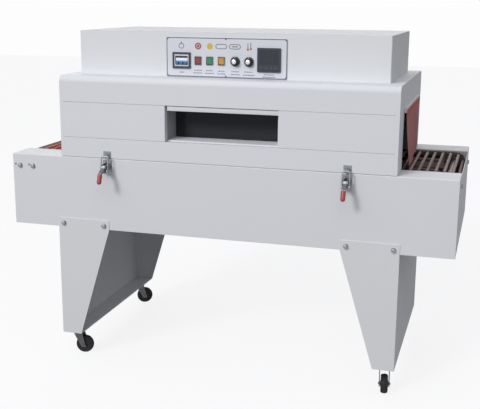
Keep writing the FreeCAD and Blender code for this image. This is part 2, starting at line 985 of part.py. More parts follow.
guides = front_and_back(chain_guide(run_z)) + front_and_back(chain_guide(return_z))
ties = [cross_tie(s.cross_tie_spacing * place_x) for place_x in (-1, 0, 1)]
node("conveyor_rails", group([*guides, *[rod_rail(y) for y in rod_rail_ys], *ties]))


def heater_tubes(z, low_y, high_y):
    xs = [s.heater_spacing * place_x for place_x in (-2, -1, 1, 2)]
    return group([cylinder("Y", s.heater_radius, (x, low_y, z), high_y - low_y) for x in xs])


node("lower_heaters", heater_tubes(shaft_z, inner_front, inner_back))


# Casters: a plate with its ball race, a fork that swivels and a wheel on its axle

def caster_plate():
    """Made with its top face at height zero and the king pin on the vertical axis."""
    half_x, half_y = s.plate_length / 2, s.plate_width / 2
    hole_x, hole_y = half_x - s.bolt_head_radius, half_y - s.bolt_head_radius
    holes = [(hole_x * a, hole_y * b, s.king_pin_radius / 2) for a in (-1, 1) for b in (-1, 1)]
    rounding = s.king_pin_radius
    plate = prism(
        "XY",
        [
            (-half_x, -half_y, rounding),
            (half_x, -half_y, rounding),
            (half_x, half_y, rounding),
            (-half_x, half_y, rounding),
        ],
        -s.plate_thickness,
        ZERO,
        holes=holes,
    )
    race_low = -s.plate_thickness - s.race_height
    race = cylinder("Z", s.race_radius, (ZERO, ZERO, race_low), s.race_height)
    head_top = race_low - s.race_play * 2 - s.fork_wall
    pin = cylinder("Z", s.king_pin_radius, (ZERO, ZERO, head_top), race_low - head_top)
    head_low = head_top - s.king_head_height
    head = cylinder("Z", s.king_head_radius, (ZERO, ZERO, head_low), s.king_head_height)
    return fuse([plate, race, pin, head])


def caster_fork():
    """Made like its plate, with the wheel trailing along plus X."""
    top = -s.plate_thickness - s.race_height - s.race_play
    axle_z = s.wheel_radius - s.caster_height
    cheek_in = s.wheel_hub_width / 2 + s.fork_side_play
    cheek_out = cheek_in + s.fork_wall
    crown = cylinder("Z", s.fork_top_radius, (ZERO, ZERO, top - s.fork_wall), s.fork_wall)
    foot = s.axle_radius * 2
    cheek_corners = [
        (-s.fork_top_radius * 0.6, top),
        (-s.fork_top_radius * 0.6, top - s.fork_wall * 3),
        (s.caster_trail - foot, axle_z - foot),
        (s.caster_trail + foot, axle_z - foot),
        (s.fork_top_radius * 0.75, top - s.fork_wall * 4),
        (s.fork_top_radius * 0.75, top),
    ]
    cheek = prism("XZ", cheek_corners, cheek_in, cheek_out)
    axle = cylinder(
        "Y",
        s.axle_radius,
        (s.caster_trail, -cheek_out - s.fork_wall, axle_z),
        (cheek_out + s.fork_wall) * 2,
    )
    hollow = cylinder(
        "Z",
        s.king_pin_radius + s.running_play,
        (ZERO, ZERO, top - s.fork_wall * 2),
        s.fork_wall * 3,
    )
    return cut(fuse([crown, cheek, mirror(cheek, "y"), axle]), [hollow])


def caster_wheel():
    """A turned wheel with a rounded tread, its axle along Y through the trailing axle's place."""
    half, hub = s.wheel_width / 2, s.wheel_hub_width / 2
    bore = s.axle_radius + s.running_play
    shoulder = s.wheel_radius * 0.1
    profile = [
        (-hub, bore),
        (-hub, s.wheel_hub_radius),
        (-half, s.wheel_hub_radius),
        (-half, s.wheel_radius - shoulder),
        (-half + shoulder, s.wheel_radius),
        (half - shoulder, s.wheel_radius),
        (half, s.wheel_radius - shoulder),
        (half, s.wheel_hub_radius),
        (hub, s.wheel_hub_radius),
        (hub, bore),
    ]
    return revolve("wheel", "YZ_Plane", profile, "H_Axis")


CASTER_HEADINGS = {"front_left": 8, "back_left": 28, "front_right": -82, "back_right": 205}
plate_master = caster_plate()
fork_master = caster_fork()
wheel_master = placed(caster_wheel(), s.caster_trail, ZERO, s.wheel_radius - s.caster_height)
caster_x = half_length - s.leg_inset - s.leg_foot_width / 2
plates = []
for name, heading in CASTER_HEADINGS.items():
    spot = (
        caster_x if name.endswith("right") else -caster_x,
        front + s.caster_inset if name.startswith("front") else back - s.caster_inset,
        leg_bottom,
    )
    plates.append(placed(plate_master, *spot))
    node(f"caster_fork_{name}", placed(fork_master, *spot, heading))
    node(f"caster_wheel_{name}", placed(wheel_master, *spot, heading))
node("caster_plates", group(plates))


# Latch clamps: a base on the side panel, a lever with a red grip, a hook and a keeper on the hood

pivot_y = front - s.clamp_pivot_out
pivot_z = rim_top - s.clamp_pivot_drop
hook_y = pivot_y + s.hook_pivot_in
hook_z = pivot_z - s.hook_pivot_drop
lip_face = front - s.lip_reach
bar_y = lip_face - s.lip_rest - s.hook_bar_radius
bar_z = rim_top + s.hook_rise
clamp_xs = {
    "left": -hood_half + s.clamp_left_inset,
    "right": hood_half - s.clamp_right_inset,
}


def clamp_base(x):
    """Plate with two upright ears that hold the lever's pivot pin."""
    low_z = hook_z - s.hook_pivot_drop
    high_z = rim_top - s.clamp_pin_radius
    plate = box(across(x, s.clamp_plate_width / 2), (front - s.clamp_plate_wall, front), (low_z, high_z))
    nose = s.clamp_pin_radius * 2.2
    ear_in = s.clamp_ear_gap / 2
    ear_out = ear_in + s.clamp_ear_wall
    corners = [
        (front - s.clamp_plate_wall, pivot_z - nose),
        (front - s.clamp_plate_wall, pivot_z + nose * 1.4),
        (pivot_y - nose * 0.4, pivot_z + nose),
        (pivot_y - nose, pivot_z + nose * 0.4),
        (pivot_y - nose, pivot_z - nose * 0.4),
        (pivot_y - nose * 0.4, pivot_z - nose),
    ]
    ears = [prism("YZ", corners, x + ear_in, x + ear_out), prism("YZ", corners, x - ear_out, x - ear_in)]
    pin = cylinder("X", s.clamp_pin_radius, (x - ear_out, pivot_y, pivot_z), ear_out * 2)
    return fuse([plate, pin] + ears)


knee_y = pivot_y - s.lever_knee_out
knee_z = pivot_z - s.lever_knee_drop
grip_cos = math.cos(math.radians(s.grip_tilt.value))
grip_sin = math.sin(math.radians(s.grip_tilt.value))


def down_grip(length, aside=0):
    """A point by its distance below the lever's knee along the grip and aside from it."""
    aside = size_of(aside)
    y = knee_y - size_of(length) * grip_sin + aside * grip_cos
    z = knee_z - size_of(length) * grip_cos - aside * grip_sin
    return y, z


def clamp_lever(x):
    """Bent lever between the ears, with the hook's pin across it and a tongue for the grip."""
    half = s.clamp_ear_gap / 2 - s.lever_play
    nose = s.clamp_pin_radius * 2.2
    tongue = s.grip_radius * 0.46
    corners = [
        (pivot_y - nose * 0.5, pivot_z + nose * 0.8),
        (pivot_y + nose * 0.6, pivot_z + nose * 0.8),
        (hook_y + s.hook_eye_radius, hook_z + s.hook_eye_radius * 0.6),
        (hook_y + s.hook_eye_radius, hook_z - s.hook_eye_radius),
        down_grip(0, s.grip_radius * 0.66),
        down_grip(s.lever_tongue, tongue),
        down_grip(s.lever_tongue, -tongue),
        down_grip(0, -s.grip_radius * 0.66),
        (pivot_y - nose, pivot_z - nose * 0.3),
    ]
    blade = prism(
        "YZ",
        corners,
        x - half,
        x + half,
        holes=[(pivot_y, pivot_z, s.clamp_pin_radius + s.running_play)],
    )
    pin_half = s.hook_half_width + s.hook_eye_width / 2
    pin = cylinder("X", s.hook_pin_radius, (x - pin_half, hook_y, hook_z), pin_half * 2)
    return fuse([blade, pin])


def clamp_grip(x):
    """Soft red sleeve over the lever's tongue, turned upright and then hung along it."""
    profile = [
        (ZERO, ZERO),
        (s.grip_radius * 0.8, ZERO),
        (s.grip_radius, -s.grip_radius * 0.4),
        (s.grip_radius, -s.grip_length + s.grip_radius * 0.5),
        (s.grip_radius * 0.72, -s.grip_length),
        (ZERO, -s.grip_length),
    ]
    sleeve = revolve("grip", "YZ_Plane", profile, "V_Axis")
    hung = doc.addObject("Part::Compound", "hung")
    hung.Links = [sleeve]
    hung.Placement.Rotation = FreeCAD.Rotation(FreeCAD.Vector(1, 0, 0), -s.grip_tilt.value)
    place(hung, x, *down_grip(s.grip_mouth))
    slot_half = s.clamp_ear_gap / 2 - s.lever_play
    tongue = s.grip_radius * 0.46
    slot_corners = [
        down_grip(0, s.grip_radius * 0.7),
        down_grip(s.lever_tongue, tongue),
        down_grip(s.lever_tongue, -tongue),
        down_grip(0, -s.grip_radius * 0.7),
    ]
    return cut(hung, [prism("YZ", slot_corners, x - slot_half, x + slot_half)])


def clamp_hook(x):
    """Bent hook: two eyes on the lever's pin, two rods and the bar that hooks the keeper."""
    parts = []
    lean = math.atan2(hook_y.value - bar_y.value, bar_z.value - hook_z.value)
    rod_length = math.hypot(hook_y.value - bar_y.value, bar_z.value - hook_z.value)
    for side in (-1, 1):
        rod_x = x + s.hook_half_width * side
        eye = cylinder(
            "X",
            s.hook_eye_radius,
            (rod_x - s.hook_eye_width / 2, hook_y, hook_z),
            s.hook_eye_width,
        )
        rod = doc.addObject("Part::Cylinder", "rod")
        rod.Placement.Rotation = FreeCAD.Rotation(FreeCAD.Vector(1, 0, 0), math.degrees(lean))
        bind(rod, "Radius", s.hook_rod_radius)
        bind(rod, "Height", size_of(rod_length))
        place(rod, rod_x, hook_y, hook_z)
        parts += [eye, rod]
    bar_half = s.hook_half_width + s.hook_bar_radius
    bar = cylinder("X", s.hook_bar_radius, (x - bar_half, bar_y, bar_z), bar_half * 2)
    bores = [
        cylinder(
            "X",
            s.hook_pin_radius + s.running_play,
            (x + s.hook_half_width * side - s.hook_eye_width, hook_y, hook_z),
            s.hook_eye_width * 2,
        )
        for side in (-1, 1)
    ]
    return cut(fuse(parts + [bar]), bores)


def clamp_keeper(x):
    """Plate on the hood with a lip that turns up to take the hook's bar."""
    low_z = hood_bottom + s.clamp_pin_radius
    plate_wall = s.clamp_plate_wall
    plate = box(
        across(x, s.clamp_plate_width / 2 - s.clamp_pin_radius),
        (front - plate_wall, front),
        (low_z, low_z + s.lip_reach * 1.2),
    )
    lip_out = lip_face
    corners = [
        (front - plate_wall, low_z),
        (lip_out, low_z),
        (lip_out, bar_z + s.hook_rod_radius * 2),
        (lip_out + plate_wall, bar_z + s.hook_rod_radius * 2),
        (lip_out + plate_wall, low_z + plate_wall),
        (front - plate_wall, low_z + plate_wall),
    ]
    lip = prism("YZ", corners, x - s.lip_width / 2, x + s.lip_width / 2)
    return fuse([plate, lip])


for side_name, clamp_x in clamp_xs.items():
    node(f"clamp_lever_{side_name}", clamp_lever(clamp_x))
    node(f"clamp_grip_{side_name}", clamp_grip(clamp_x))
    node(f"clamp_hook_{side_name}", clamp_hook(clamp_x))
node("clamp_bases", group([clamp_base(x) for x in clamp_xs.values()]))
node("clamp_keepers", group([clamp_keeper(x) for x in clamp_xs.values()]))


# Rear hinges: the base leaf has two knuckles and the pin, the hood leaf has the middle knuckle

hinge_y = back + s.knuckle_stand_off + s.knuckle_radius
hinge_z = rim_top + s.seam_gap / 2
hinge_third = s.hinge_width / 6
hinge_xs = [-s.hinge_spacing / 2, s.hinge_spacing / 2]


def leaf(x, half, z_low, z_high, knuckle_spans, neck_z):
    plate = box(across(x, s.hinge_width / 2), (back, back + s.hinge_leaf_wall), (z_low, z_high))
    pieces = [plate]
    for start, end in knuckle_spans:
        pieces.append(cylinder("X", s.knuckle_radius, (start, hinge_y, hinge_z), end - start))
        pieces.append(box((start, end), (back + s.knuckle_stand_off, back + s.hinge_leaf_wall), neck_z))
    return fuse(pieces)


def base_leaf(x):
    spans = [
        (x - s.hinge_width / 2, x - hinge_third - s.knuckle_play),
        (x + hinge_third + s.knuckle_play, x + s.hinge_width / 2),
    ]
    top = hinge_z - s.knuckle_radius - s.knuckle_play
    low = top - s.hinge_leaf_height
    leaf_part = leaf(x, s.hinge_width / 2, low, top, spans, (top - s.hinge_leaf_wall, hinge_z))
    pin = cylinder("X", s.hinge_pin_radius, (x - s.hinge_width / 2, hinge_y, hinge_z), s.hinge_width)
    return fuse([leaf_part, pin])


def hood_leaf(x):
    low = hinge_z + s.knuckle_radius + s.knuckle_play
    spans = [(x - hinge_third, x + hinge_third)]
    leaf_part = leaf(x, hinge_third, low, low + s.hinge_leaf_height, spans, (hinge_z, low + s.hinge_leaf_wall))
    bore = cylinder(
        "X",
        s.hinge_pin_radius + s.running_play,
        (x - s.hinge_width / 2, hinge_y, hinge_z),
        s.hinge_width,
    )
    return cut(leaf_part, [bore])


node("hinge_base_leaves", group([base_leaf(x) for x in hinge_xs]))
node("hinge_hood_leaves", group([hood_leaf(x) for x in hinge_xs]))


# Hood shell: a rounded top cover, front and back panels between two end frames with the tunnel mouths

def shell_strip(low_z, low_x, high_x):
    """The rounded sheet over the top, from low_z at the front to low_z at the back."""
    inner_round = s.hood_round - wall
    corners = [
        (front, low_z),
        (front + wall, low_z),
        (front + wall, hood_top - wall, inner_round),
        (back - wall, hood_top - wall, inner_round),
        (back - wall, low_z),
        (back, low_z),
        (back, hood_top, s.hood_round),
        (front, hood_top, s.hood_round),
    ]
    return prism("YZ", corners, low_x, high_x)


fan_hole = cylinder("Z", s.shaft_hole_radius, (ZERO, middle_y, hood_top - wall * 2), wall * 3)
window_half = s.window_length / 2
cover_lip = box(
    across(ZERO, window_half),
    (front + wall, front + s.window_step),
    (high_seam + s.seam_gap, high_seam + s.seam_gap + wall),
)
top_sheet = shell_strip(high_seam + s.seam_gap, -hood_inner_end, hood_inner_end)
node("hood_top_cover", fuse([cut(top_sheet, [fan_hole]), cover_lip]))


def end_frame():
    """The right end: a pan with a return flange all round and the mouth cut out of it."""
    returns = shell_strip(hood_bottom, hood_inner_end + s.seam_gap, hood_half - wall)
    face = prism(
        "YZ",
        [
            (front, hood_bottom),
            (inner_front, hood_bottom),
            (inner_front, high_seam),
            (inner_back, high_seam),
            (inner_back, hood_bottom),
            (back, hood_bottom),
            (back, hood_top, s.hood_round),
            (front, hood_top, s.hood_round),
        ],
        hood_half - wall,
        hood_half,
    )
    return fuse([returns, face])


right_frame = node("hood_end_frame_right", end_frame())
node("hood_end_frame_left", mirror(right_frame, "x"))


def front_panel():
    """The left half of the middle band, with its return into the window's recess."""
    low_z, high_z = low_seam + s.seam_gap, high_seam
    corners = [
        (-hood_inner_end, front),
        (-window_half, front),
        (-window_half, front + s.window_step),
        (-window_half - wall, front + s.window_step),
        (-window_half - wall, front + wall),
        (-hood_inner_end, front + wall),
    ]
    return prism("XY", corners, low_z, high_z)


def low_panel(top):
    """An angle that closes the foot of the front wall: its outside up to top and its underside."""
    corners = [
        (front, hood_bottom),
        (inner_front - wall, hood_bottom),
        (inner_front - wall, hood_bottom + wall),
        (front + wall, hood_bottom + wall),
        (front + wall, top),
        (front, top),
    ]
    return prism("YZ", corners, -hood_inner_end, hood_inner_end)


middle_left = front_panel()
sill_lip = box(
    across(ZERO, window_half),
    (front + wall, front + s.window_step),
    (low_seam - wall, low_seam),
)
node(
    "hood_front_panels",
    group([middle_left, mirror(middle_left, "x"), fuse([low_panel(low_seam), sill_lip])]),
)
node("hood_back_panel", mirror(low_panel(high_seam), "y", middle_y))


# Observation window: a deep frame through the front wall with dark glass at its inner end

frame_low, frame_high = low_seam, high_seam + s.seam_gap
glass_y = front + s.window_depth
sight_x = (-window_half + s.window_left_bar, window_half - s.window_right_bar)
sight_z = (frame_low + s.window_bottom_bar, frame_high - s.window_top_bar)


def rectangle(u, v):
    return [(u[0], v[0]), (u[1], v[0]), (u[1], v[1]), (u[0], v[1])]


node(
    "window_frame",
    prism(
        "XZ",
        rectangle(across(ZERO, window_half + wall), (frame_low, frame_high)),
        front + s.window_step,
        glass_y,
        cutouts=[rectangle(sight_x, sight_z)],
    ),
)
node(
    "window_glass",
    box(
        across(ZERO, window_half + wall),
        (glass_y, glass_y + s.glass_thickness),
        (frame_low, frame_high),
    ),
)


# Inside the hood: the tunnel liner, mineral wool round it, heater tubes and the circulation fan

def liner():
    corners = [
        (inner_front - wall, hood_bottom),
        (inner_front, hood_bottom),
        (inner_front, ceiling),
        (inner_back, ceiling),
        (inner_back, hood_bottom),
        (inner_back + wall, hood_bottom),
        (inner_back + wall, ceiling_top),
        (inner_front - wall, ceiling_top),
    ]
    sheet_part = prism("YZ", corners, wall - hood_half, hood_half - wall)
    sight = box(sight_x, (inner_front - wall * 2, inner_front + wall), sight_z)
    shaft_way = cylinder("Z", s.shaft_hole_radius, (ZERO, middle_y, ceiling - wall), wall * 4)
    return cut(sheet_part, [sight, shaft_way])


node("tunnel_liner", liner())


def insulation():
    skin = s.hood_round - wall
    outer_top = hood_top - wall
    low_z = hood_bottom + wall
    corners = [
        (front + wall, low_z),
        (inner_front - wall, low_z),
        (inner_front - wall, ceiling_top),
        (inner_back + wall, ceiling_top),
        (inner_back + wall, low_z),
        (back - wall, low_z),
        (back - wall, outer_top, skin),
        (front + wall, outer_top, skin),
    ]
    wool = prism("YZ", corners, -hood_inner_end, hood_inner_end)
    recess = box(
        across(ZERO, window_half + wall),
        (front, inner_front),
        (frame_low - wall, frame_high + wall),
    )
    shaft_way = cylinder("Z", s.shaft_hole_radius, (ZERO, middle_y, ceiling), outer_top - ceiling + wall)
    return cut(wool, [recess, shaft_way])


node("hood_insulation", insulation())
node("upper_heaters", heater_tubes(rim_top + s.upper_heater_height, inner_front, inner_back))

motor_low = hood_top
fan_disc_top = ceiling - s.fan_drop


def fan_motor():
    plate_half = s.fan_plate_size / 2
    plate = box(
        across(ZERO, plate_half),
        across(middle_y, plate_half),
        (motor_low, motor_low + s.fan_plate_wall),
    )
    can = cylinder(
        "Z",
        s.fan_motor_radius,
        (ZERO, middle_y, motor_low + s.fan_plate_wall),
        s.fan_motor_height,
    )
    bore = cylinder(
        "Z",
        s.fan_shaft_radius + s.running_play,
        (ZERO, middle_y, motor_low - wall),
        s.fan_shaft_grip + wall,
    )
    return cut(fuse([plate, can]), [bore])


node("fan_motor", fan_motor())


def fan_wheel():
    """Circulation wheel: a disc with upright blades round it, on the motor's shaft."""
    body = new_body("fan")
    disc_sketch = body_sketch(body, "XY_Plane")
    hole(disc_sketch, ZERO, ZERO, s.fan_radius)
    disc = body.newObject("PartDesign::Pad", "disc")
    disc.Profile = disc_sketch
    bind(disc, "Length", s.fan_disc_wall)
    blade_sketch = body_sketch(body, "XY_Plane")
    half = s.fan_blade_wall / 2
    tip = s.fan_radius - s.fan_blade_wall
    outline(
        blade_sketch,
        [
            (tip - s.fan_blade_length, s.fan_blade_wall * 4 - half),
            (tip, -half),
            (tip, half),
            (tip - s.fan_blade_length, s.fan_blade_wall * 4 + half),
        ],
    )
    blade = body.newObject("PartDesign::Pad", "blade")
    blade.Profile = blade_sketch
    blade.Reversed = True
    bind(blade, "Length", s.fan_blade_height)
    ring = body.newObject("PartDesign::PolarPattern", "blades")
    ring.Originals = [blade]
    ring.Axis = (blade_sketch, ["N_Axis"])
    ring.Angle = 360
    ring.Occurrences = int(s.fan_blades.value)
    body.Tip = ring
    wheel = placed(body, ZERO, middle_y, fan_disc_top - s.fan_disc_wall)
    shaft_low = fan_disc_top - s.fan_disc_wall
    shaft_top = motor_low + s.fan_shaft_grip - s.running_play
    shaft = cylinder("Z", s.fan_shaft_radius, (ZERO, middle_y, shaft_low), shaft_top - shaft_low)
    return fuse([wheel, shaft])


node("fan_impeller", fan_wheel())


# Curtains: a heat-proof sheet hangs from a bar in front of each tunnel mouth

bar_low = high_seam - s.curtain_bar_sink
bar_high = high_seam + s.curtain_bar_rise
curtain_ys = (inner_front + s.curtain_side_gap, inner_back - s.curtain_side_gap)
right_bar = box((hood_half, hood_half + s.curtain_bar_depth), curtain_ys, (bar_low, bar_high))
node("curtain_bars", group([mirror(right_bar, "x"), right_bar]))
curtain_x = hood_half + s.curtain_bar_depth - s.curtain_thickness
right_curtain = box(
    (curtain_x, curtain_x + s.curtain_thickness),
    curtain_ys,
    (rim_top - s.conveyor_drop + s.curtain_lift, bar_low - s.curtain_top_gap),
)
node("curtain_right", right_curtain)
node("curtain_left", mirror(right_curtain, "x"))


# Control box: a folded cover on the hood with the switch panel in front and vent slots behind

box_front = middle_y - s.box_depth / 2
box_back = middle_y + s.box_depth / 2
box_half = s.box_length / 2
box_top = hood_top + s.box_height
panel_x = (s.panel_shift - s.panel_length / 2, s.panel_shift + s.panel_length / 2)
panel_z = (hood_top + s.panel_rise, hood_top + s.panel_rise + s.panel_height)
device_z = hood_top + s.device_row


def box_cover():
    outer = prism(
        "XY",
        [
            (-box_half, box_front, s.box_round),
            (box_half, box_front, s.box_round),
            (box_half, box_back, s.box_round),
            (-box_half, box_back, s.box_round),
        ],
        hood_top,
        box_top,
    )
    hollow_x = (wall - box_half, box_half - wall)
    hollow_y = (box_front + wall, box_back - wall)
    inner_round = s.box_round - wall
    inner = prism(
        "XY",
        [(u, v, inner_round) for u, v in rectangle(hollow_x, hollow_y)],
        hood_top - wall,
        box_top - wall,
    )
    window = box(
        (panel_x[0] + s.panel_margin, panel_x[1] - s.panel_margin),
        (box_front - wall, box_front + wall * 2),
        (panel_z[0] + s.panel_margin, panel_z[1] - s.panel_margin),
    )
    vents = []
    middle_z = hood_top + s.box_height / 2
    for i in range(int(s.vent_count.value)):
        x = s.vent_pitch * (i - (int(s.vent_count.value) - 1) / 2)
        vents.append(
            box(
                across(x, s.vent_width / 2),
                (box_back - wall * 2, box_back + wall),
                across(middle_z, s.vent_height / 2),
            )
        )
    return cut(outer, [inner, window] + vents)


node("control_box_cover", box_cover())

panel_face = box_front - s.panel_wall
rocker_xs = {
    "red": s.rocker_red_x,
    "green": s.rocker_red_x + s.rocker_spacing,
    "amber": s.rocker_red_x + s.rocker_spacing * 2,
}
knob_xs = {"speed": s.knob_speed_x, "fan": s.knob_fan_x}
controller_z = device_z + s.controller_rise
frame_half = (s.rocker_width / 2 + s.rocker_frame, s.rocker_height / 2 + s.rocker_frame)


def control_panel():
    """Face plate with the openings for its devices, and the three switch frames set into it."""
    behind = s.panel_wall * 2
    cutouts = [rectangle(across(s.breaker_x, s.breaker_width / 2 - behind), across(device_z, s.breaker_height / 2 - behind))]
    cutouts.append(
        rectangle(
            across(s.controller_x, s.controller_size / 2 - behind),
            across(controller_z, s.controller_size / 2 - behind),
        )
    )
    for x in rocker_xs.values():
        cutouts.append(rectangle(across(x, s.rocker_width / 2), across(device_z, s.rocker_height / 2)))
    plate = prism(
        "XZ",
        [(u, v, s.box_round) for u, v in rectangle(panel_x, panel_z)],
        panel_face,
        box_front,
        holes=[(x, device_z, s.knob_spindle_radius + s.rocker_play) for x in knob_xs.values()],
        cutouts=cutouts,
    )
    frames = [
        prism(
            "XZ",
            rectangle(across(x, frame_half[0]), across(device_z, frame_half[1])),
            panel_face - s.rocker_frame_proud,
            panel_face,
            cutouts=[rectangle(across(x, s.rocker_width / 2), across(device_z, s.rocker_height / 2))],
        )
        for x in rocker_xs.values()
    ]
    return group([plate] + frames)


node("control_panel", control_panel())


def breaker():
    behind = s.panel_wall * 2
    bezel = box(
        across(s.breaker_x, s.breaker_width / 2),
        (panel_face - s.breaker_proud, panel_face),
        across(device_z, s.breaker_height / 2),
    )
    case = box(
        across(s.breaker_x, s.breaker_width / 2 - behind),
        (panel_face, panel_face + s.breaker_depth),
        across(device_z, s.breaker_height / 2 - behind),
    )
    window = box(
        across(s.breaker_x, s.breaker_window_width / 2),
        (panel_face - s.breaker_proud * 2, panel_face - s.breaker_proud + s.breaker_window_depth),
        across(device_z, s.breaker_window_height / 2),
    )
    swing = s.toggle_radius + s.toggle_wall
    slot = cylinder(
        "X",
        swing,
        (s.breaker_x - s.toggle_width / 2 - s.toggle_wall / 2, toggle_y, device_z),
        s.toggle_width + s.toggle_wall,
    )
    return cut(fuse([bezel, case]), [window, slot])


toggle_y = panel_face + s.toggle_radius
toggle_rest = 28


def breaker_toggle():
    """Three levers on one tie bar. At rest they point down and out."""
    drum = cylinder(
        "X", s.toggle_radius, (s.breaker_x - s.toggle_width / 2, toggle_y, device_z), s.toggle_width
    )
    levers = []
    finger = s.toggle_width / 4
    reach = s.toggle_radius + s.toggle_length
    for i in (-1, 0, 1):
        x = s.breaker_x + finger * i * 1.45
        lever = doc.addObject("Part::Box", "finger")
        bind(lever, "Length", finger)
        bind(lever, "Width", reach)
        bind(lever, "Height", s.toggle_wall)
        turn = FreeCAD.Rotation(FreeCAD.Vector(1, 0, 0), 180 + toggle_rest)
        lever.Placement.Rotation = turn
        half = turn.multVec(FreeCAD.Vector(0, 0, 1))
        place(
            lever,
            x - finger / 2,
            toggle_y - s.toggle_wall * (half.y / 2),
            device_z - s.toggle_wall * (half.z / 2),
        )
        levers.append(lever)
    return fuse([drum] + levers)


node("breaker_body", breaker())
node("breaker_toggle", breaker_toggle())


def rocker(x):
    """Rocker on its cross axis, with its lower half pressed in at rest."""
    half_x = s.rocker_width / 2 - s.rocker_play
    half_z = s.rocker_height / 2 - s.rocker_play * 2
    face = panel_face - s.rocker_frame_proud
    rise = half_z * math.tan(math.radians(s.rocker_tilt.value))
    corners = [
        (face - rise * 1.2, device_z + half_z),
        (face - s.rocker_play, device_z),
        (face + rise * 0.8, device_z - half_z),
        (box_front, device_z - half_z * 0.8),
        (box_front + s.rocker_frame, device_z),
        (box_front, device_z + half_z * 0.8),
    ]
    return prism("YZ", corners, x - half_x, x + half_x)


for colour, rocker_x in rocker_xs.items():
    node(f"rocker_{colour}", rocker(rocker_x))


def knob(x):
    """Turned knob with a skirt, on a spindle that passes through the face plate."""
    grip = s.knob_radius
    taper = grip * 0.9
    profile = [
        (ZERO, -s.knob_height),
        (taper, -s.knob_height),
        (grip, -s.knob_skirt_height),
        (s.knob_skirt_radius, -s.knob_skirt_height * 0.6),
        (s.knob_skirt_radius, ZERO),
        (s.knob_spindle_radius, ZERO),
        (s.knob_spindle_radius, s.panel_wall * 3),
        (ZERO, s.panel_wall * 3),
    ]
    return placed(revolve("knob", "XY_Plane", profile, "V_Axis"), x, panel_face - s.knob_rest, device_z)


for knob_name, knob_x in knob_xs.items():
    node(f"knob_{knob_name}", knob(knob_x))

behind_bezel = s.panel_wall * 2
node(
    "temperature_controller",
    fuse(
        [
            box(
                across(s.controller_x, s.controller_size / 2),
                (panel_face - s.controller_bezel, panel_face),
                across(controller_z, s.controller_size / 2),
            ),
            box(
                across(s.controller_x, s.controller_size / 2 - behind_bezel),
                (panel_face, panel_face + s.controller_depth),
                across(controller_z, s.controller_size / 2 - behind_bezel),
            ),
        ]
    ),
)


# Cable gland in the back panel: flange outside, threaded neck through the sheet, dome nut with its bore

gland_pieces = [
    cylinder("Y", s.gland_radius, (gland_x, back - wall - s.gland_flange, gland_z), s.gland_length),
    hexagon("Y", s.gland_flange_radius, (gland_x, back, gland_z), s.gland_flange),
]
gland_way = cylinder("Y", s.gland_bore, (gland_x, back - s.gland_length, gland_z), s.gland_length * 3)
node("cable_gland", cut(fuse(gland_pieces), [gland_way]))


# Build, check and write each piece

def check_and_write():
    doc.recompute()
    for item in doc.Objects:
        bad = [state for state in item.State if state in ("Invalid", "Error")]
        if bad:
            raise RuntimeError(f"{item.Name} ({item.Label}) is {bad}")
    os.makedirs("parts", exist_ok=True)
    for item in nodes:
        shape = item.Shape
        if shape.isNull() or not shape.isValid():
            raise RuntimeError(f"{item.Label} has no valid shape")
        shape.exportStep(f"parts/{item.Label}.step")
        print(f"{item.Label}: {len(shape.Solids)} solids, {shape.Volume / 1000:.1f} cm3")


check_and_write()
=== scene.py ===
import json
import math
import random

import bmesh
import bpy
from mathutils import Euler, Matrix, Vector


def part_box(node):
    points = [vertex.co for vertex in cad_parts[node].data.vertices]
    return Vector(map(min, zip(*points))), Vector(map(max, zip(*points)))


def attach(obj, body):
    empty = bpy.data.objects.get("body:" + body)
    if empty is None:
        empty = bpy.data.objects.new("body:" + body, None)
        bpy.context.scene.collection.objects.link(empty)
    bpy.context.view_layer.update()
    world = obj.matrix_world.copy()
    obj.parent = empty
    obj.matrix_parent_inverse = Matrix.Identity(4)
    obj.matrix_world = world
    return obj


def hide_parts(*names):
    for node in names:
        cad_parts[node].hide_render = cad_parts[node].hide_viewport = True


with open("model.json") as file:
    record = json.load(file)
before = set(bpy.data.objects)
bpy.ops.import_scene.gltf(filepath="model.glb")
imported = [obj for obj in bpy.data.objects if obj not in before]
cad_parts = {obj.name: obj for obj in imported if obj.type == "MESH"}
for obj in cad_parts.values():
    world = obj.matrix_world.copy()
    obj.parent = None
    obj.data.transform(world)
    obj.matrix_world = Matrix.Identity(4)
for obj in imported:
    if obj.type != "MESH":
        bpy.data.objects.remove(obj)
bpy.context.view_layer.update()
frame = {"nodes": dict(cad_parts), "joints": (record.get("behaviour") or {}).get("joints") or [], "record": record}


# Studio: a pale floor and a softly lit room round the machine. The key light stands in front and to
# the left, as the latches' shadows show, and the camera stands to the right of the middle, a little
# above the control box.


def linked(name, data):
    made = bpy.data.objects.new(name, data)
    bpy.context.scene.collection.objects.link(made)
    return made


focal_pixels, picture_width = 881.664, 480
yaw, pitch, roll = math.radians(16.3186), math.radians(13.0754), math.radians(0.4224)
camera_place = (0.7973, -2.7901, 1.1737)
camera_data = bpy.data.cameras.new("studio_camera")
camera_data.sensor_width = 36
camera_data.lens = focal_pixels / picture_width * camera_data.sensor_width
camera = linked("studio_camera", camera_data)
ahead = Vector((-math.sin(yaw) * math.cos(pitch), math.cos(yaw) * math.cos(pitch), -math.sin(pitch)))
level_right = Vector((math.cos(yaw), math.sin(yaw), 0))
level_up = level_right.cross(ahead)
camera_right = level_right * math.cos(roll) + level_up * math.sin(roll)
camera_up = level_up * math.cos(roll) - level_right * math.sin(roll)
camera_turn = Matrix((camera_right, camera_up, -ahead)).transposed().to_4x4()
camera.matrix_world = Matrix.Translation(camera_place) @ camera_turn
bpy.context.scene.camera = camera
bpy.context.scene.view_settings.view_transform = "Standard"


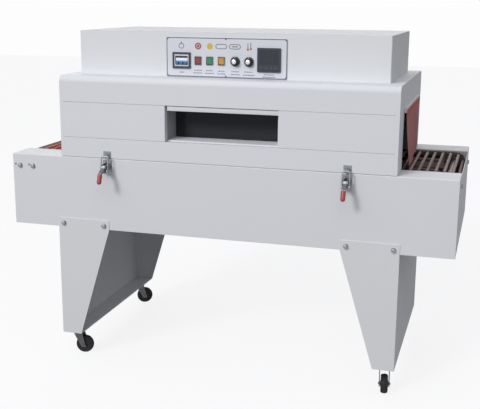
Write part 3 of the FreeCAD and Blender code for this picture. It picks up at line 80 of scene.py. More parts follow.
def put(tree, kind, inputs=None, **settings):
    """Adds a node. An input is given by its name or number, as a value, an output or a whole node."""
    new = tree.nodes.new(kind)
    for name, value in settings.items():
        setattr(new, name, value)
    for key, value in (inputs or {}).items():
        if isinstance(value, bpy.types.Node):
            value = value.outputs[0]
        if isinstance(value, bpy.types.NodeSocket):
            tree.links.new(value, new.inputs[key])
        else:
            new.inputs[key].default_value = value
    return new


def calc(tree, operation, *values):
    return put(tree, "ShaderNodeMath", dict(enumerate(values)), operation=operation)


def empty_tree(owner):
    owner.use_nodes = True
    owner.node_tree.nodes.clear()
    return owner.node_tree


def end_backdrop(tree, output, lit, shade):
    """Shows a plain shade to the camera and to mirror and glass rays, and the lit shader elsewhere."""
    rays = put(tree, "ShaderNodeLightPath").outputs
    seen = calc(tree, "MAXIMUM", rays["Is Camera Ray"], rays["Is Glossy Ray"])
    seen = calc(tree, "MAXIMUM", seen, rays["Is Transmission Ray"])
    put(tree, output, {"Surface": put(tree, "ShaderNodeMixShader", {0: seen, 1: lit, 2: shade})})


room = bpy.data.worlds.new("studio_room")
bpy.context.scene.world = room
room_tree = empty_tree(room)
ambient = put(room_tree, "ShaderNodeBackground", {"Color": (0.95, 0.97, 1.0, 1), "Strength": 0.42})
white_room = put(room_tree, "ShaderNodeBackground", {"Color": (0.985, 0.985, 0.99, 1), "Strength": 1.0})
end_backdrop(room_tree, "ShaderNodeOutputWorld", ambient, white_room)

far = 14
floor_mesh = bpy.data.meshes.new("studio_floor")
floor_mesh.from_pydata([(-far, -far, 0), (far, -far, 0), (far, far, 0), (-far, far, 0)], [], [(0, 1, 2, 3)])
floor = linked("studio_floor", floor_mesh)
floor_paint = bpy.data.materials.new("studio_floor_paint")
floor_tree = empty_tree(floor_paint)
floor_bounce = put(floor_tree, "ShaderNodeBsdfDiffuse", {"Color": (0.20, 0.20, 0.20, 1)})
floor_lit = put(floor_tree, "ShaderNodeBsdfDiffuse", {"Color": (0.14, 0.14, 0.14, 1)})
floor_glow = put(floor_tree, "ShaderNodeEmission", {"Color": (0.99, 0.99, 1.0, 1), "Strength": 0.85})
floor_seen = put(floor_tree, "ShaderNodeAddShader", {0: floor_lit, 1: floor_glow})
end_backdrop(floor_tree, "ShaderNodeOutputMaterial", floor_bounce, floor_seen)
floor_mesh.materials.append(floor_paint)


def facing(place, way, up="Y"):
    """A place turned so that its Z points along a way."""
    return Matrix.Translation(place) @ Vector(way).to_track_quat("Z", up).to_matrix().to_4x4()


def sun(name, towards, strength, spread):
    """A distant lamp that shines from the direction towards."""
    data = bpy.data.lights.new(name, "SUN")
    data.energy = strength
    data.angle = math.radians(spread)
    linked(name, data).rotation_euler = Vector(towards).to_track_quat("Z", "Y").to_euler()


sun("key_light", (-0.50, -1.0, 0.62), 1.30, 14)
sun("back_fill", (-0.35, 1.0, 0.35), 0.9, 50)
softbox_data = bpy.data.lights.new("front_softbox", "AREA")
softbox_data.shape = "RECTANGLE"
softbox_data.size, softbox_data.size_y = 6.8, 2.2
softbox_data.energy = 100
linked("front_softbox", softbox_data).matrix_world = facing((-0.85, -4.0, 4.25), (-0.35, -2.0, 1.75))


# Base side panels: two long panels bent from 1.5 mm steel sheet, each with a wide rim on top and an
# inner wall that carries the conveyor. They are powder coated a pale grey white, with a fine orange
# peel, lighter along the folds, partly as rubbed coat and partly as painted highlight, and a darker
# brown on the wall inside.


def named_inputs(tree, inputs):
    """Gives a tree an input for each name, of its value's kind, and returns the sockets."""
    for label, value in inputs.items():
        size = len(value) if isinstance(value, tuple) else type(value)
        kind = {4: "Color", 3: "Vector", int: "Int", float: "Float"}.get(size, "Material")
        socket = tree.interface.new_socket(label, in_out="INPUT", socket_type=f"NodeSocket{kind}")
        if value is not None:
            socket.default_value = value
    return tree.nodes.new("NodeGroupInput").outputs


def shader_group(name, inputs, output, kind="Float"):
    group = bpy.data.node_groups.new(name, "ShaderNodeTree")
    group.interface.new_socket(output, in_out="OUTPUT", socket_type=f"NodeSocket{kind}")
    return group, named_inputs(group, inputs)


def noise(tree, scale, detail, stretch=None):
    place = put(tree, "ShaderNodeTexCoord").outputs["Object"]
    if stretch is not None:
        place = put(tree, "ShaderNodeVectorMath", {0: place, 1: stretch}, operation="MULTIPLY")
    return put(tree, "ShaderNodeTexNoise", {"Vector": place, "Scale": scale, "Detail": detail})


def spread(tree, value, low, high, **to):
    """Maps a value's range from low to high onto another range, from 0 to 1 unless it is given."""
    ends = {f"To {end}": given_end for end, given_end in to.items()}
    return put(tree, "ShaderNodeMapRange", {"Value": value, "From Min": low, "From Max": high, **ends})


grain_group, given = shader_group(
    "grain", {"Scale": 800.0, "Stretch": (1, 1, 1), "Low": 0.0, "High": 1.0}, "Value"
)
speckle = noise(grain_group, given["Scale"], 3.0, given["Stretch"])
speckle = spread(grain_group, speckle, 0.3, 0.7, Min=given["Low"], Max=given["High"])
put(grain_group, "NodeGroupOutput", {"Value": speckle})

tint_group, given = shader_group(
    "patchy_tint", {"Color": (0.8, 0.8, 0.8, 1), "Amount": 0.04, "Scale": 6.0}, "Color", "Color"
)
centred = calc(tint_group, "SUBTRACT", noise(tint_group, given["Scale"], 4.0), 0.5)
shift = calc(tint_group, "MULTIPLY_ADD", centred, given["Amount"], 1.0)
shaded = put(
    tint_group, "ShaderNodeVectorMath", {0: given["Color"], "Scale": shift}, operation="SCALE"
)
put(tint_group, "NodeGroupOutput", {"Color": shaded})

# The fold mask lightens the bent edges in patches: partly rubbed coat, partly a painted highlight along the edges
# that catch the light.
wear_and_highlight_group, given = shader_group("edge_wear_and_highlight", {"Reach": 0.5, "Scale": 60.0}, "Mask")
fold = put(wear_and_highlight_group, "ShaderNodeAttribute", attribute_name="fold").outputs["Fac"]
rubbed = spread(wear_and_highlight_group, noise(wear_and_highlight_group, given["Scale"], 5.0), 0.35, 0.75, Max=given["Reach"])
put(wear_and_highlight_group, "NodeGroupOutput", {"Mask": calc(wear_and_highlight_group, "MULTIPLY", rubbed, fold)})


def use(tree, group, **inputs):
    made = tree.nodes.new("ShaderNodeGroup")
    made.node_tree = group
    for name, value in inputs.items():
        made.inputs[name].default_value = value
    return made


def mixed(tree, factor, first, second):
    """A socket's colour that passes into a second colour."""
    inputs = {0: factor, 6: first, 7: (*second, 1)}
    return put(tree, "ShaderNodeMix", inputs, data_type="RGBA").outputs[2]


def finish(
    name, colour, rough=(0.4, 0.5), metal=0.0, relief=0.1, grain=900.0, stretch=(1, 1, 1),
    patch=(0.05, 5.0), wear_and_highlight=None, wear_and_highlight_colour=(0.9, 0.9, 0.92), depth=0.0002, **extra,
):
    """A material with patchy colour, grained roughness and relief, and folds lightened when asked: partly rubbed
    coat, partly painted highlight.
    """
    material = bpy.data.materials.new(name)
    tree = empty_tree(material)
    tinted = use(tree, tint_group, Color=(*colour, 1), Amount=patch[0], Scale=patch[1])
    if wear_and_highlight:
        tinted = mixed(tree, use(tree, wear_and_highlight_group, Reach=wear_and_highlight, Scale=80.0), tinted, wear_and_highlight_colour)
    sheen = use(tree, grain_group, Scale=grain * 0.35, Stretch=stretch, Low=rough[0], High=rough[1])
    bumps = use(tree, grain_group, Scale=grain, Stretch=stretch, Low=0.0, High=1.0)
    normal = put(tree, "ShaderNodeBump", {"Height": bumps, "Strength": relief, "Distance": depth})
    looks = {"Base Color": tinted, "Roughness": sheen, "Metallic": metal, "Normal": normal}
    looks |= {label.replace("_", " "): value for label, value in extra.items()}
    shader = put(tree, "ShaderNodeBsdfPrincipled", looks)
    put(tree, "ShaderNodeOutputMaterial", {"Surface": shader})
    return material


def node_of(material, kind):
    return next(node for node in material.node_tree.nodes if node.bl_idname == kind)


def blend_along(material, axis, start, end, colour):
    """Lets a material's colour pass into another one between two places along an axis."""
    tree = material.node_tree
    base = node_of(material, "ShaderNodeBsdfPrincipled").inputs["Base Color"]
    place = put(tree, "ShaderNodeTexCoord").outputs["Object"]
    split = put(tree, "ShaderNodeSeparateXYZ", {0: place})
    along = spread(tree, split.outputs[axis], start, end)
    tree.links.new(mixed(tree, along, base.links[0].from_socket, colour), base)


powder_coat = {"grain": 420.0, "wear_and_highlight_colour": (0.80, 0.81, 0.83)}
enamel = finish(
    "pale_powder_coat", (0.695, 0.705, 0.735), rough=(0.58, 0.70), relief=0.25, patch=(0.035, 3.0),
    wear_and_highlight=0.5, Specular_IOR_Level=0.22, **powder_coat,
)
body_of_node = {
    member: body for body, members in frame["record"]["behaviour"]["bodies"].items() for member in members
}


def settle(made, node_name=None, body="hood"):
    """Makes a piece ride on a body. A piece that stands for a CAD node rides on the node's body."""
    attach(made, body_of_node[node_name] if node_name else body)
    if node_name:
        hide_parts(node_name)
    return made


def new_piece(name, mesh, *materials):
    made = linked(name, mesh)
    for material in materials:
        mesh.materials.append(material)
    return made


def smooth(mesh, angle=32):
    mesh.polygons.foreach_set("use_smooth", [True] * len(mesh.polygons))
    mesh.set_sharp_from_angle(angle=math.radians(angle))


def finished_mesh(name, bm, where=Matrix.Identity(4), angle=32):
    """Turns a worked shape into a mesh at its place."""
    mesh = bpy.data.meshes.new(name)
    bm.transform(where)
    bm.to_mesh(mesh)
    bm.free()
    smooth(mesh, angle)
    return mesh


def break_edges(bm, width, rounds=2, angle=35):
    """Breaks every sharp edge and marks the new faces as folds."""
    mark = bm.faces.layers.float.get("fold") or bm.faces.layers.float.new("fold")
    least = math.radians(angle)
    sharp = [e for e in bm.edges if len(e.link_faces) == 2 and e.calc_face_angle(0) > least]
    made = bmesh.ops.bevel(
        bm, geom=sharp, offset=width, segments=rounds, profile=0.5, affect="EDGES", clamp_overlap=True
    )
    for face in made["faces"]:
        face[mark] = 1.0


def cad_copy(node_name):
    bm = bmesh.new()
    bm.from_mesh(frame["nodes"][node_name].data)
    bmesh.ops.remove_doubles(bm, verts=bm.verts, dist=0.00001)
    return bm


def dress(node_name, material, width=0.0005, rounds=2):
    """Sheet or machined metal: the CAD solid's own form with its edges broken and its faces finished."""
    bm = cad_copy(node_name)
    bmesh.ops.dissolve_limit(bm, angle_limit=math.radians(0.6), verts=bm.verts, edges=bm.edges)
    break_edges(bm, width, rounds)
    made = new_piece(f"{node_name}_dressed", finished_mesh(f"{node_name}_dressed", bm), material)
    even = made.modifiers.new("flat_faces_stay_flat", "WEIGHTED_NORMAL")
    even.keep_sharp = True
    even.weight = 100
    settle(made, node_name)


# The wall inside each panel passes into a darker brown.
inner_wall_brown = (0.50, 0.42, 0.395)
for panel, inner_side, brown_reach in (("base_front_panel", 1, -0.004), ("base_back_panel", 0, 0.004)):
    inner_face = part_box(panel)[inner_side].y
    inner_wall_coat = enamel.copy()
    inner_wall_coat.name = f"{panel}_coat"
    blend_along(inner_wall_coat, 1, inner_face + brown_reach, inner_face + brown_reach / 2, inner_wall_brown)
    dress(panel, inner_wall_coat, 0.0006)


# End plates and floor tray: the plates close the ends under the rims, with a notch for the conveyor.
# They are coated like the panels. The tray under everything is bare galvanised sheet, dusty on top.

dress("base_end_plates", enamel, 0.0005)
sheet_grain = {"relief": 0.12, "grain": 240.0, "patch": (0.35, 26.0)}
galvanised = finish("galvanised_sheet", (0.52, 0.53, 0.55), rough=(0.34, 0.52), metal=0.85, **sheet_grain)
dusty_tray = finish(
    "dusty_galvanised_sheet", (0.48, 0.49, 0.50), rough=(0.4, 0.6), metal=0.35, **sheet_grain
)
tray_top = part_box("base_floor_tray")[0].z + 0.0015
blend_along(dusty_tray, 2, tray_top - 0.0004, tray_top - 0.0001, (0.50, 0.34, 0.29))
dress("base_floor_tray", dusty_tray, 0.0003)


# Legs: each is one folded sheet with a web across the machine, two flanges that taper to the foot and
# a foot plate for the casters. They are bolted to the outside of the base and coated like it.

leg_enamel = finish(
    "leg_powder_coat", (0.685, 0.695, 0.72), rough=(0.60, 0.72), relief=0.28, grain=420.0,
    patch=(0.05, 3.4), wear_and_highlight=0.3, wear_and_highlight_colour=(0.74, 0.75, 0.77), Specular_IOR_Level=0.2,
)
for leg in ("leg_left", "leg_right"):
    dress(leg, leg_enamel, 0.0007)


# Hexagon bolts with plain washers, zinc plated. Eight hold the legs, two the drive unit behind the
# front panel, and two at the exit end set the take-up shaft. One tree of nodes makes them all.


def geometry_tree(name, inputs):
    """A tree that takes and gives geometry, with named inputs. Also gives its input sockets."""
    tree = bpy.data.node_groups.new(name, "GeometryNodeTree")
    for way in ("INPUT", "OUTPUT"):
        tree.interface.new_socket("Geometry", in_out=way, socket_type="NodeSocketGeometry")
    return tree, named_inputs(tree, inputs)


def grow(name, tree, source, **values):
    """Runs a tree on a source object and gives the result as a plain, smoothed piece."""
    modifier = source.modifiers.new("grow", "NODES")
    modifier.node_group = tree
    sockets = {item.name: item.identifier for item in tree.interface.items_tree if item.in_out == "INPUT"}
    for label, value in values.items():
        modifier[sockets[label.replace("_", " ")]] = value
    bpy.context.view_layer.update()
    mesh = bpy.data.meshes.new_from_object(source.evaluated_get(bpy.context.evaluated_depsgraph_get()))
    mesh.name = name
    bpy.data.objects.remove(source)
    smooth(mesh)
    return new_piece(name, mesh)


def spots(name, places, turns):
    """A bare mesh of points, each with the turn of what is put there."""
    mesh = bpy.data.meshes.new(name)
    mesh.from_pydata([tuple(place) for place in places], [], [])
    turn = mesh.attributes.new("turn", "FLOAT_VECTOR", "POINT")
    turn.data.foreach_set("vector", [math.radians(angle) for each in turns for angle in each])
    return linked(name, mesh)


def moved(tree, geometry, shift=(0, 0, 0), turn=(0, 0, 0)):
    inputs = {"Geometry": geometry, "Translation": shift, "Rotation": turn}
    return put(tree, "GeometryNodeTransform", inputs)


def upward(tree, operation, *values):
    """A vector that points up by what a maths node gives."""
    return put(tree, "ShaderNodeCombineXYZ", {"Z": calc(tree, operation, *values)})


def cylinder(tree, sides, radius, length):
    return put(tree, "GeometryNodeMeshCylinder", {"Vertices": sides, "Radius": radius, "Depth": length})


def join(tree, *parts):
    joined = tree.nodes.new("GeometryNodeJoinGeometry")
    for part in parts:
        tree.links.new(part.outputs[0], joined.inputs[0])
    return joined


def in_material(tree, shape, material):
    return put(tree, "GeometryNodeSetMaterial", {"Geometry": shape, "Material": material})


def end_tree(tree, shape, material=None):
    """Makes real mesh of what a tree has placed, in one material if it is given."""
    shape = put(tree, "GeometryNodeRealizeInstances", {"Geometry": shape})
    if material is not None:
        shape = in_material(tree, shape, material)
    put(tree, "NodeGroupOutput", {0: shape})


def end_repeat(tree, given, *parts):
    """Puts the joined parts on each point that the tree is given, at the point's turn."""
    turn = put(tree, "GeometryNodeInputNamedAttribute", {"Name": "turn"}, data_type="FLOAT_VECTOR")
    inputs = {"Points": given["Geometry"], "Instance": join(tree, *parts)}
    inputs["Rotation"] = put(tree, "FunctionNodeEulerToRotation", {0: turn})
    end_tree(tree, put(tree, "GeometryNodeInstanceOnPoints", inputs), given["Material"])


washer_thickness = 0.0016
bolt_tree, given = geometry_tree(
    "hexagon_bolt",
    {
        "Head Radius": 0.007, "Head Height": 0.0044, "Crown Top": 0.0046, "Crown Foot": 0.0059,
        "Crown Height": 0.0006, "Washer Radius": 0.008, "Washer Thickness": washer_thickness,
        "Shank Radius": 0.004, "Shank Length": 0.014, "Material": None,
    },
)
head_height, washer = given["Head Height"], given["Washer Thickness"]
crown_sizes = {"Radius Top": given["Crown Top"], "Radius Bottom": given["Crown Foot"]}
crown = put(
    bolt_tree, "GeometryNodeMeshCone", {"Vertices": 18, **crown_sizes, "Depth": given["Crown Height"]}
)
bolt_parts = [
    moved(bolt_tree, shape, upward(bolt_tree, *rise))
    for shape, rise in (
        (
            cylinder(bolt_tree, 6, given["Head Radius"], head_height),
            ("MULTIPLY_ADD", head_height, 0.5, washer),
        ),
        (crown, ("ADD", head_height, washer)),
        (cylinder(bolt_tree, 24, given["Washer Radius"], washer), ("MULTIPLY", washer, 0.5)),
        (
            cylinder(bolt_tree, 12, given["Shank Radius"], given["Shank Length"]),
            ("MULTIPLY", given["Shank Length"], -0.5),
        ),
    )
]
end_repeat(bolt_tree, given, *bolt_parts)

plated = {"metal": 1.0, "relief": 0.08, "grain": 700.0}
bolt_zinc = finish("bolt_zinc", (0.29, 0.30, 0.32), rough=(0.34, 0.50), patch=(0.3, 90.0), **plated)
zinc = finish("bright_zinc", (0.30, 0.315, 0.33), rough=(0.26, 0.44), patch=(0.25, 60.0), **plated)


def solid_boxes(node_name):
    """The lowest and highest corner of each separate solid of a CAD node."""
    bm = cad_copy(node_name)
    left = set(bm.verts)
    found = []
    while left:
        stack = [left.pop()]
        seen = list(stack)
        while stack:
            near = {vert for edge in stack.pop().link_edges for vert in edge.verts} & left
            left -= near
            seen += near
            stack += near
        low, high = (Vector(pick(vert.co[i] for vert in seen) for i in range(3)) for pick in (min, max))
        found.append((low, high))
    bm.free()
    return sorted(found, key=lambda pair: tuple(round(value, 4) for value in pair[0]))


bolt_places, bolt_turns = [], []
nominal_head, take_up_length = 0.005, 0.0165
head_reach = washer_thickness + nominal_head
middle_y = sum(corner.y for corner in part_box("base_floor_tray")) / 2
for low, high in solid_boxes("hex_bolts"):
    size = high - low
    x, y, z = (low + high) / 2
    if size.x > size.y and size.x > take_up_length:
        bolt_places.append((high.x - head_reach, y, z))
        bolt_turns.append((0, 90, 0))
    elif y < middle_y:
        bolt_places.append((x, low.y + head_reach, z))
        bolt_turns.append((90, 0, 0))
    else:
        bolt_places.append((x, high.y - head_reach, z))
        bolt_turns.append((-90, 0, 0))
bolt_spots = spots("bolt_spots", bolt_places, bolt_turns)
settle(grow("hexagon_bolts", bolt_tree, bolt_spots, Material=bolt_zinc), "hex_bolts")


# Pan head screws beside the two drive bolts, which hold the drive unit's cover strip from inside. A
# tree turns each one from a domed head and a short thread, with a cross slot cut in the dome.

screw_tree, given = geometry_tree(
    "pan_head_screw",
    {
        "Head Radius": 0.0036, "Head Height": 0.0024, "Slot Size": (0.0048, 0.0009, 0.0018),
        "Thread Radius": 0.0014, "Thread Length": 0.006, "Material": None,
    },
)
head_height, thread_length = given["Head Height"], given["Thread Length"]
dome = put(
    screw_tree, "GeometryNodeMeshUVSphere", {"Segments": 24, "Rings": 12, "Radius": given["Head Radius"]}
)
flatter = calc(screw_tree, "DIVIDE", head_height, given["Head Radius"])
dome_scale = put(screw_tree, "ShaderNodeCombineXYZ", {"X": 1.0, "Y": 1.0, "Z": flatter})
low_dome = put(screw_tree, "GeometryNodeTransform", {"Geometry": dome, "Scale": dome_scale})
slot_bar = put(screw_tree, "GeometryNodeMeshCube", {"Size": given["Slot Size"]})
slot_cross = moved(screw_tree, slot_bar, turn=(0, 0, math.pi / 2))
slotted = put(screw_tree, "GeometryNodeMeshBoolean", {"Mesh 1": low_dome}, operation="DIFFERENCE")
for bar in (slot_bar, slot_cross):
    cutter = moved(screw_tree, bar, upward(screw_tree, "MULTIPLY", head_height, 1.0))
    screw_tree.links.new(cutter.outputs[0], slotted.inputs["Mesh 2"])
thread = cylinder(screw_tree, 12, given["Thread Radius"], thread_length)
thread = moved(screw_tree, thread, upward(screw_tree, "MULTIPLY", thread_length, -0.5))
end_repeat(screw_tree, given, slotted, thread)
screw_insets, screw_drop = (0.0072, 0.0560), 0.034
panel_edge, panel_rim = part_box("base_front_panel")
screw_places = [(panel_edge.x + inset, panel_edge.y, panel_rim.z - screw_drop) for inset in screw_insets]
screw_spots = spots("screw_spots", screw_places, [(90, 0, 0)] * len(screw_places))
settle(grow("pan_head_screws", screw_tree, screw_spots, Material=bolt_zinc), body="base")


# Conveyor rods: steel rods in brown red silicone sleeves, which turn in the chains at each end. A tree
# spaces them evenly along the chain loop. Heat and use have left each sleeve a slightly other shade.

sleeve_rubber = finish(
    "silicone_sleeve", (0.50, 0.150, 0.075), rough=(0.55, 0.72), relief=0.2, grain=500.0,
    patch=(0.7, 34.0), Specular_IOR_Level=0.3,
)
# Along the machine the sleeves pass into a grey brown towards the exit end: painted sheen and shade, for rods seen
# at a grazing angle on the shaded end.
blend_along(sleeve_rubber, 0, -0.6, 0.35, (0.205, 0.135, 0.120))
rod_low, rod_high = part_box("conveyor_rods")
faces_per_cad_rod = 28
rod_count = len(frame["nodes"]["conveyor_rods"].data.polygons) // faces_per_cad_rod
shaft_low, shaft_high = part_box("conveyor_shafts")
chain_low, chain_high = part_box("conveyor_chains")
half_chain = 0.0059
pitch_radius = (chain_high.z - chain_low.z) / 2 - half_chain
loop_z = (shaft_low.z + shaft_high.z) / 2
shaft_x = shaft_high.x - (shaft_high.z - shaft_low.z) / 2


def chain_loop(name):
    """The pitch line of the chains, from above the infeed sprocket towards the exit."""
    steps = 24
    points = [(-shaft_x, loop_z + pitch_radius)]
    for centre_x, start, count in ((shaft_x, 0, steps + 1), (-shaft_x, math.pi, steps)):
        for step in range(count):
            angle = start + math.pi * step / steps
            across, up = pitch_radius * math.sin(angle), pitch_radius * math.cos(angle)
            points.append((centre_x + across, loop_z + up))
    data = bpy.data.curves.new(name, "CURVE")
    data.dimensions = "3D"
    line = data.splines.new("POLY")
    line.points.add(len(points) - 1)
    for spot, (x, z) in zip(line.points, points):
        spot.co = (x, middle_y, z, 1)
    line.use_cyclic_u = True
    return linked(name, data)


def points_along(tree, given):
    even = put(tree, "GeometryNodeResampleCurve", {"Curve": given["Geometry"], "Count": given["Count"]})
    return put(tree, "GeometryNodeCurveToPoints", {"Curve": even}, mode="EVALUATED")


rod_tree, given = geometry_tree(
    "sleeved_rods",
    {
        "Count": 112, "Length": 0.364, "Sleeve Radius": 0.005, "Rod Radius": 0.0027, "Rod End": 0.008,
        "Sleeve": None, "Rod": None,
    },
)
sleeve_length = calc(rod_tree, "MULTIPLY_ADD", given["Rod End"], -2.0, given["Length"])
sleeve = cylinder(rod_tree, 14, given["Sleeve Radius"], sleeve_length)
rod = cylinder(rod_tree, 8, given["Rod Radius"], given["Length"])
both = join(
    rod_tree, in_material(rod_tree, sleeve, given["Sleeve"]), in_material(rod_tree, rod, given["Rod"])
)
each = {"Points": points_along(rod_tree, given), "Instance": moved(rod_tree, both, turn=(math.pi / 2, 0, 0))}
end_tree(rod_tree, put(rod_tree, "GeometryNodeInstanceOnPoints", each))
rods = grow(
    "sleeved_rods", rod_tree, chain_loop("rod_loop"), Count=rod_count, Length=rod_high.y - rod_low.y,
    Sleeve=sleeve_rubber, Rod=zinc,
)
settle(rods, "conveyor_rods")


# Chains: two roller chains of half-inch pitch. Pairs of inner and outer link plates alternate along
# the loop, with a roller and a riveted pin at each joint.

chain_tree, given = geometry_tree(
    "roller_chain",
    {
        "Count": 224, "Pitch": 0.0127, "Plate Height": 0.0112, "Plate Thickness": 0.0009,
        "Inner Gap": 0.0039, "Roller Radius": 0.0042, "Roller Width": 0.0076, "Pin Radius": 0.0019,
        "Pin Length": 0.0117, "Centre Y": 0.188, "Steel": None,
    },
)
places = points_along(chain_tree, given)
pitch, plate_height, plate_thickness = (given[name] for name in ("Pitch", "Plate Height", "Plate Thickness"))
plate_length = calc(chain_tree, "ADD", pitch, plate_height)
plate_outline = put(
    chain_tree, "GeometryNodeCurvePrimitiveQuadrilateral", {0: plate_length, 1: plate_height}
)
plate_round = calc(chain_tree, "MULTIPLY", plate_height, 0.498)
plate_curve = put(
    chain_tree,
    "GeometryNodeFilletCurve",
    {"Curve": plate_outline, "Radius": plate_round, "Count": 3},
    mode="POLY",
)
plate_face = put(chain_tree, "GeometryNodeFillCurve", {"Curve": plate_curve}, mode="NGONS")
plate_solid = put(
    chain_tree,
    "GeometryNodeExtrudeMesh",
    {"Mesh": plate_face, "Offset Scale": plate_thickness, "Individual": False},
)
plate_back = put(chain_tree, "GeometryNodeFlipFaces", {"Mesh": plate_face})
plate = put(
    chain_tree,
    "GeometryNodeMergeByDistance",
    {"Geometry": join(chain_tree, plate_solid, plate_back), "Distance": 0.00001},
)
half_pitch = calc(chain_tree, "MULTIPLY", pitch, 0.5)
outer_gap = calc(chain_tree, "MULTIPLY_ADD", plate_thickness, 1.1, given["Inner Gap"])


def link_pair(gap):
    """The two plates of one link, on each side of the chain's middle, which reach to the next pin."""
    parts = []
    for side, turn in ((1.0, 0), (-1.0, math.pi)):
        across = calc(chain_tree, "MULTIPLY", gap, side)
        shift = put(chain_tree, "ShaderNodeCombineXYZ", {"X": half_pitch, "Z": across})
        parts.append(moved(chain_tree, plate, shift, (turn, 0, 0)))
    return join(chain_tree, *parts)


roller = cylinder(chain_tree, 10, given["Roller Radius"], given["Roller Width"])
pin = cylinder(chain_tree, 8, given["Pin Radius"], given["Pin Length"])
odd = calc(chain_tree, "MODULO", put(chain_tree, "GeometryNodeInputIndex"), 2.0)
is_odd = put(chain_tree, "FunctionNodeCompare", {0: odd, 1: 0.5}, operation="GREATER_THAN")
not_odd = put(chain_tree, "FunctionNodeBooleanMath", {0: is_odd}, operation="NOT")
tangent = put(
    chain_tree,
    "FunctionNodeAlignRotationToVector",
    {"Vector": places.outputs["Tangent"], "Rotation": (math.pi / 2, 0, 0)},
    axis="X",
    pivot_axis="AUTO",
)
groups = []
for shape, chosen in (
    (link_pair(given["Inner Gap"]), {"Selection": is_odd}),
    (link_pair(outer_gap), {"Selection": not_odd}),
    (join(chain_tree, roller, pin), {}),
):
    inputs = {"Points": places, "Instance": shape, "Rotation": tangent, **chosen}
    groups.append(put(chain_tree, "GeometryNodeInstanceOnPoints", inputs))
both_sides = []
for side in (1.0, -1.0):
    across = calc(chain_tree, "MULTIPLY", given["Centre Y"], side)
    shift = put(chain_tree, "ShaderNodeCombineXYZ", {"Y": across})
    both_sides.append(moved(chain_tree, join(chain_tree, *groups), shift))
end_tree(chain_tree, join(chain_tree, *both_sides), given["Steel"])
chain_steel = finish(
    "oiled_chain_steel", (0.14, 0.13, 0.125), rough=(0.28, 0.5), metal=0.9, relief=0.15, grain=400.0,
    patch=(0.5, 50.0),
)
chains = grow(
    "roller_chains", chain_tree, chain_loop("link_loop"), Count=rod_count * 2,
    Centre_Y=(chain_high.y - chain_low.y) / 2 - half_chain, Steel=chain_steel,
)
settle(chains, "conveyor_chains")


# Drive parts under the conveyor: toothed sprockets on two ground shafts in flange bearings, and a worm
# gear motor on the infeed shaft. The chains slide on folded guides and the rods on two flat rails.

shaft_steel = finish(
    "ground_shaft_steel", (0.17, 0.15, 0.145), rough=(0.42, 0.56), metal=0.8, relief=0.06, patch=(0.3, 60.0)
)
hammer_paint = finish(
    "hammer_paint", (0.085, 0.12, 0.17), rough=(0.3, 0.5), relief=0.5, grain=260.0, patch=(0.5, 40.0),
    wear_and_highlight=0.8, wear_and_highlight_colour=(0.4, 0.41, 0.42), depth=0.0005,
)
rail_steel = finish(
    "rubbed_rail_steel", (0.13, 0.105, 0.097), rough=(0.7, 0.85), relief=0.15, grain=300.0,
    patch=(0.5, 30.0), Specular_IOR_Level=0.1,
)
dress("conveyor_sprockets", chain_steel, 0.0004, 1)
dress("conveyor_shafts", shaft_steel, 0.0005)
dress("shaft_bearings", chain_steel, 0.0008)
dress("gear_motor", hammer_paint, 0.0015)
dress("conveyor_rails", rail_steel, 0.0003)


# Heater tubes: mineral filled stainless tubes, browned by heat, across the machine above and below
# the conveyor. Each is swaged to a slimmer end where it is held.

heater_steel = finish(
    "heat_stained_steel", (0.30, 0.25, 0.21), rough=(0.35, 0.55), metal=0.9, grain=500.0, patch=(0.9, 18.0)
)


def skin(bm, rings, capped=True):
    """Joins rings of points, or a ring and a single point, with faces. Capped closes both ends."""
    for below, above in zip(rings, rings[1:]):
        sides = max(len(below), len(above))
        for i in range(sides):
            j = (i + 1) % sides
            corners = [(below, i), (below, j), (above, j), (above, i)]
            bm.faces.new(list(dict.fromkeys(ring[number % len(ring)] for ring, number in corners)))
    for ring, turn in ((rings[0], -1), (rings[-1], 1)):
        if capped and len(ring) > 1:
            bm.faces.new(ring[::turn])
    bmesh.ops.recalc_face_normals(bm, faces=bm.faces)
    return bm


def circle(sides):
    """Evenly spaced directions round a circle."""
    angles = [2 * math.pi * side / sides for side in range(sides)]
    return [(math.cos(angle), math.sin(angle)) for angle in angles]


def turned(profile, sides=40):
    """A closed turned shape. The profile runs along Z as (radius, height) pairs from bottom to top."""
    bm = bmesh.new()
    rings = [
        [bm.verts.new((radius * u, radius * v, height)) for u, v in (circle(sides) if radius else [(0, 0)])]
        for radius, height in profile
    ]
    return skin(bm, rings)


def combined(name, shapes):
    """One mesh of several worked shapes, each with its place and material number."""
    whole = bmesh.new()
    for bm, where, number in shapes:
        for face in bm.faces:
            face.material_index = number
        part = finished_mesh("part", bm, where)
        whole.from_mesh(part)
        bpy.data.meshes.remove(part)
    return finished_mesh(name, whole)


def seated(place, turn):
    """A place and a turn in degrees about X, Y and Z."""
    return Matrix.Translation(place) @ Euler([math.radians(angle) for angle in turn]).to_matrix().to_4x4()


for heaters in ("lower_heaters", "upper_heaters"):
    tubes = []
    for low, high in solid_boxes(heaters):
        radius, length = (high.x - low.x) / 2, high.y - low.y
        profile = [(radius * 0.45, 0), (radius * 0.98, 0.001), (radius, 0.004), (radius, length - 0.004)]
        profile += [(radius * 0.98, length - 0.001), (radius * 0.45, length)]
        x, _, z = (low + high) / 2
        tubes.append((turned(profile, 20), seated((x, low.y, z), (-90, 0, 0)), 0))
    name = f"{heaters}_tubes"
    settle(new_piece(name, combined(name, tubes), heater_steel), heaters)


# Casters: a pressed plate and ball race under each corner, a pressed fork that swivels on its king
# pin, and a black moulded wheel with a softer tread.

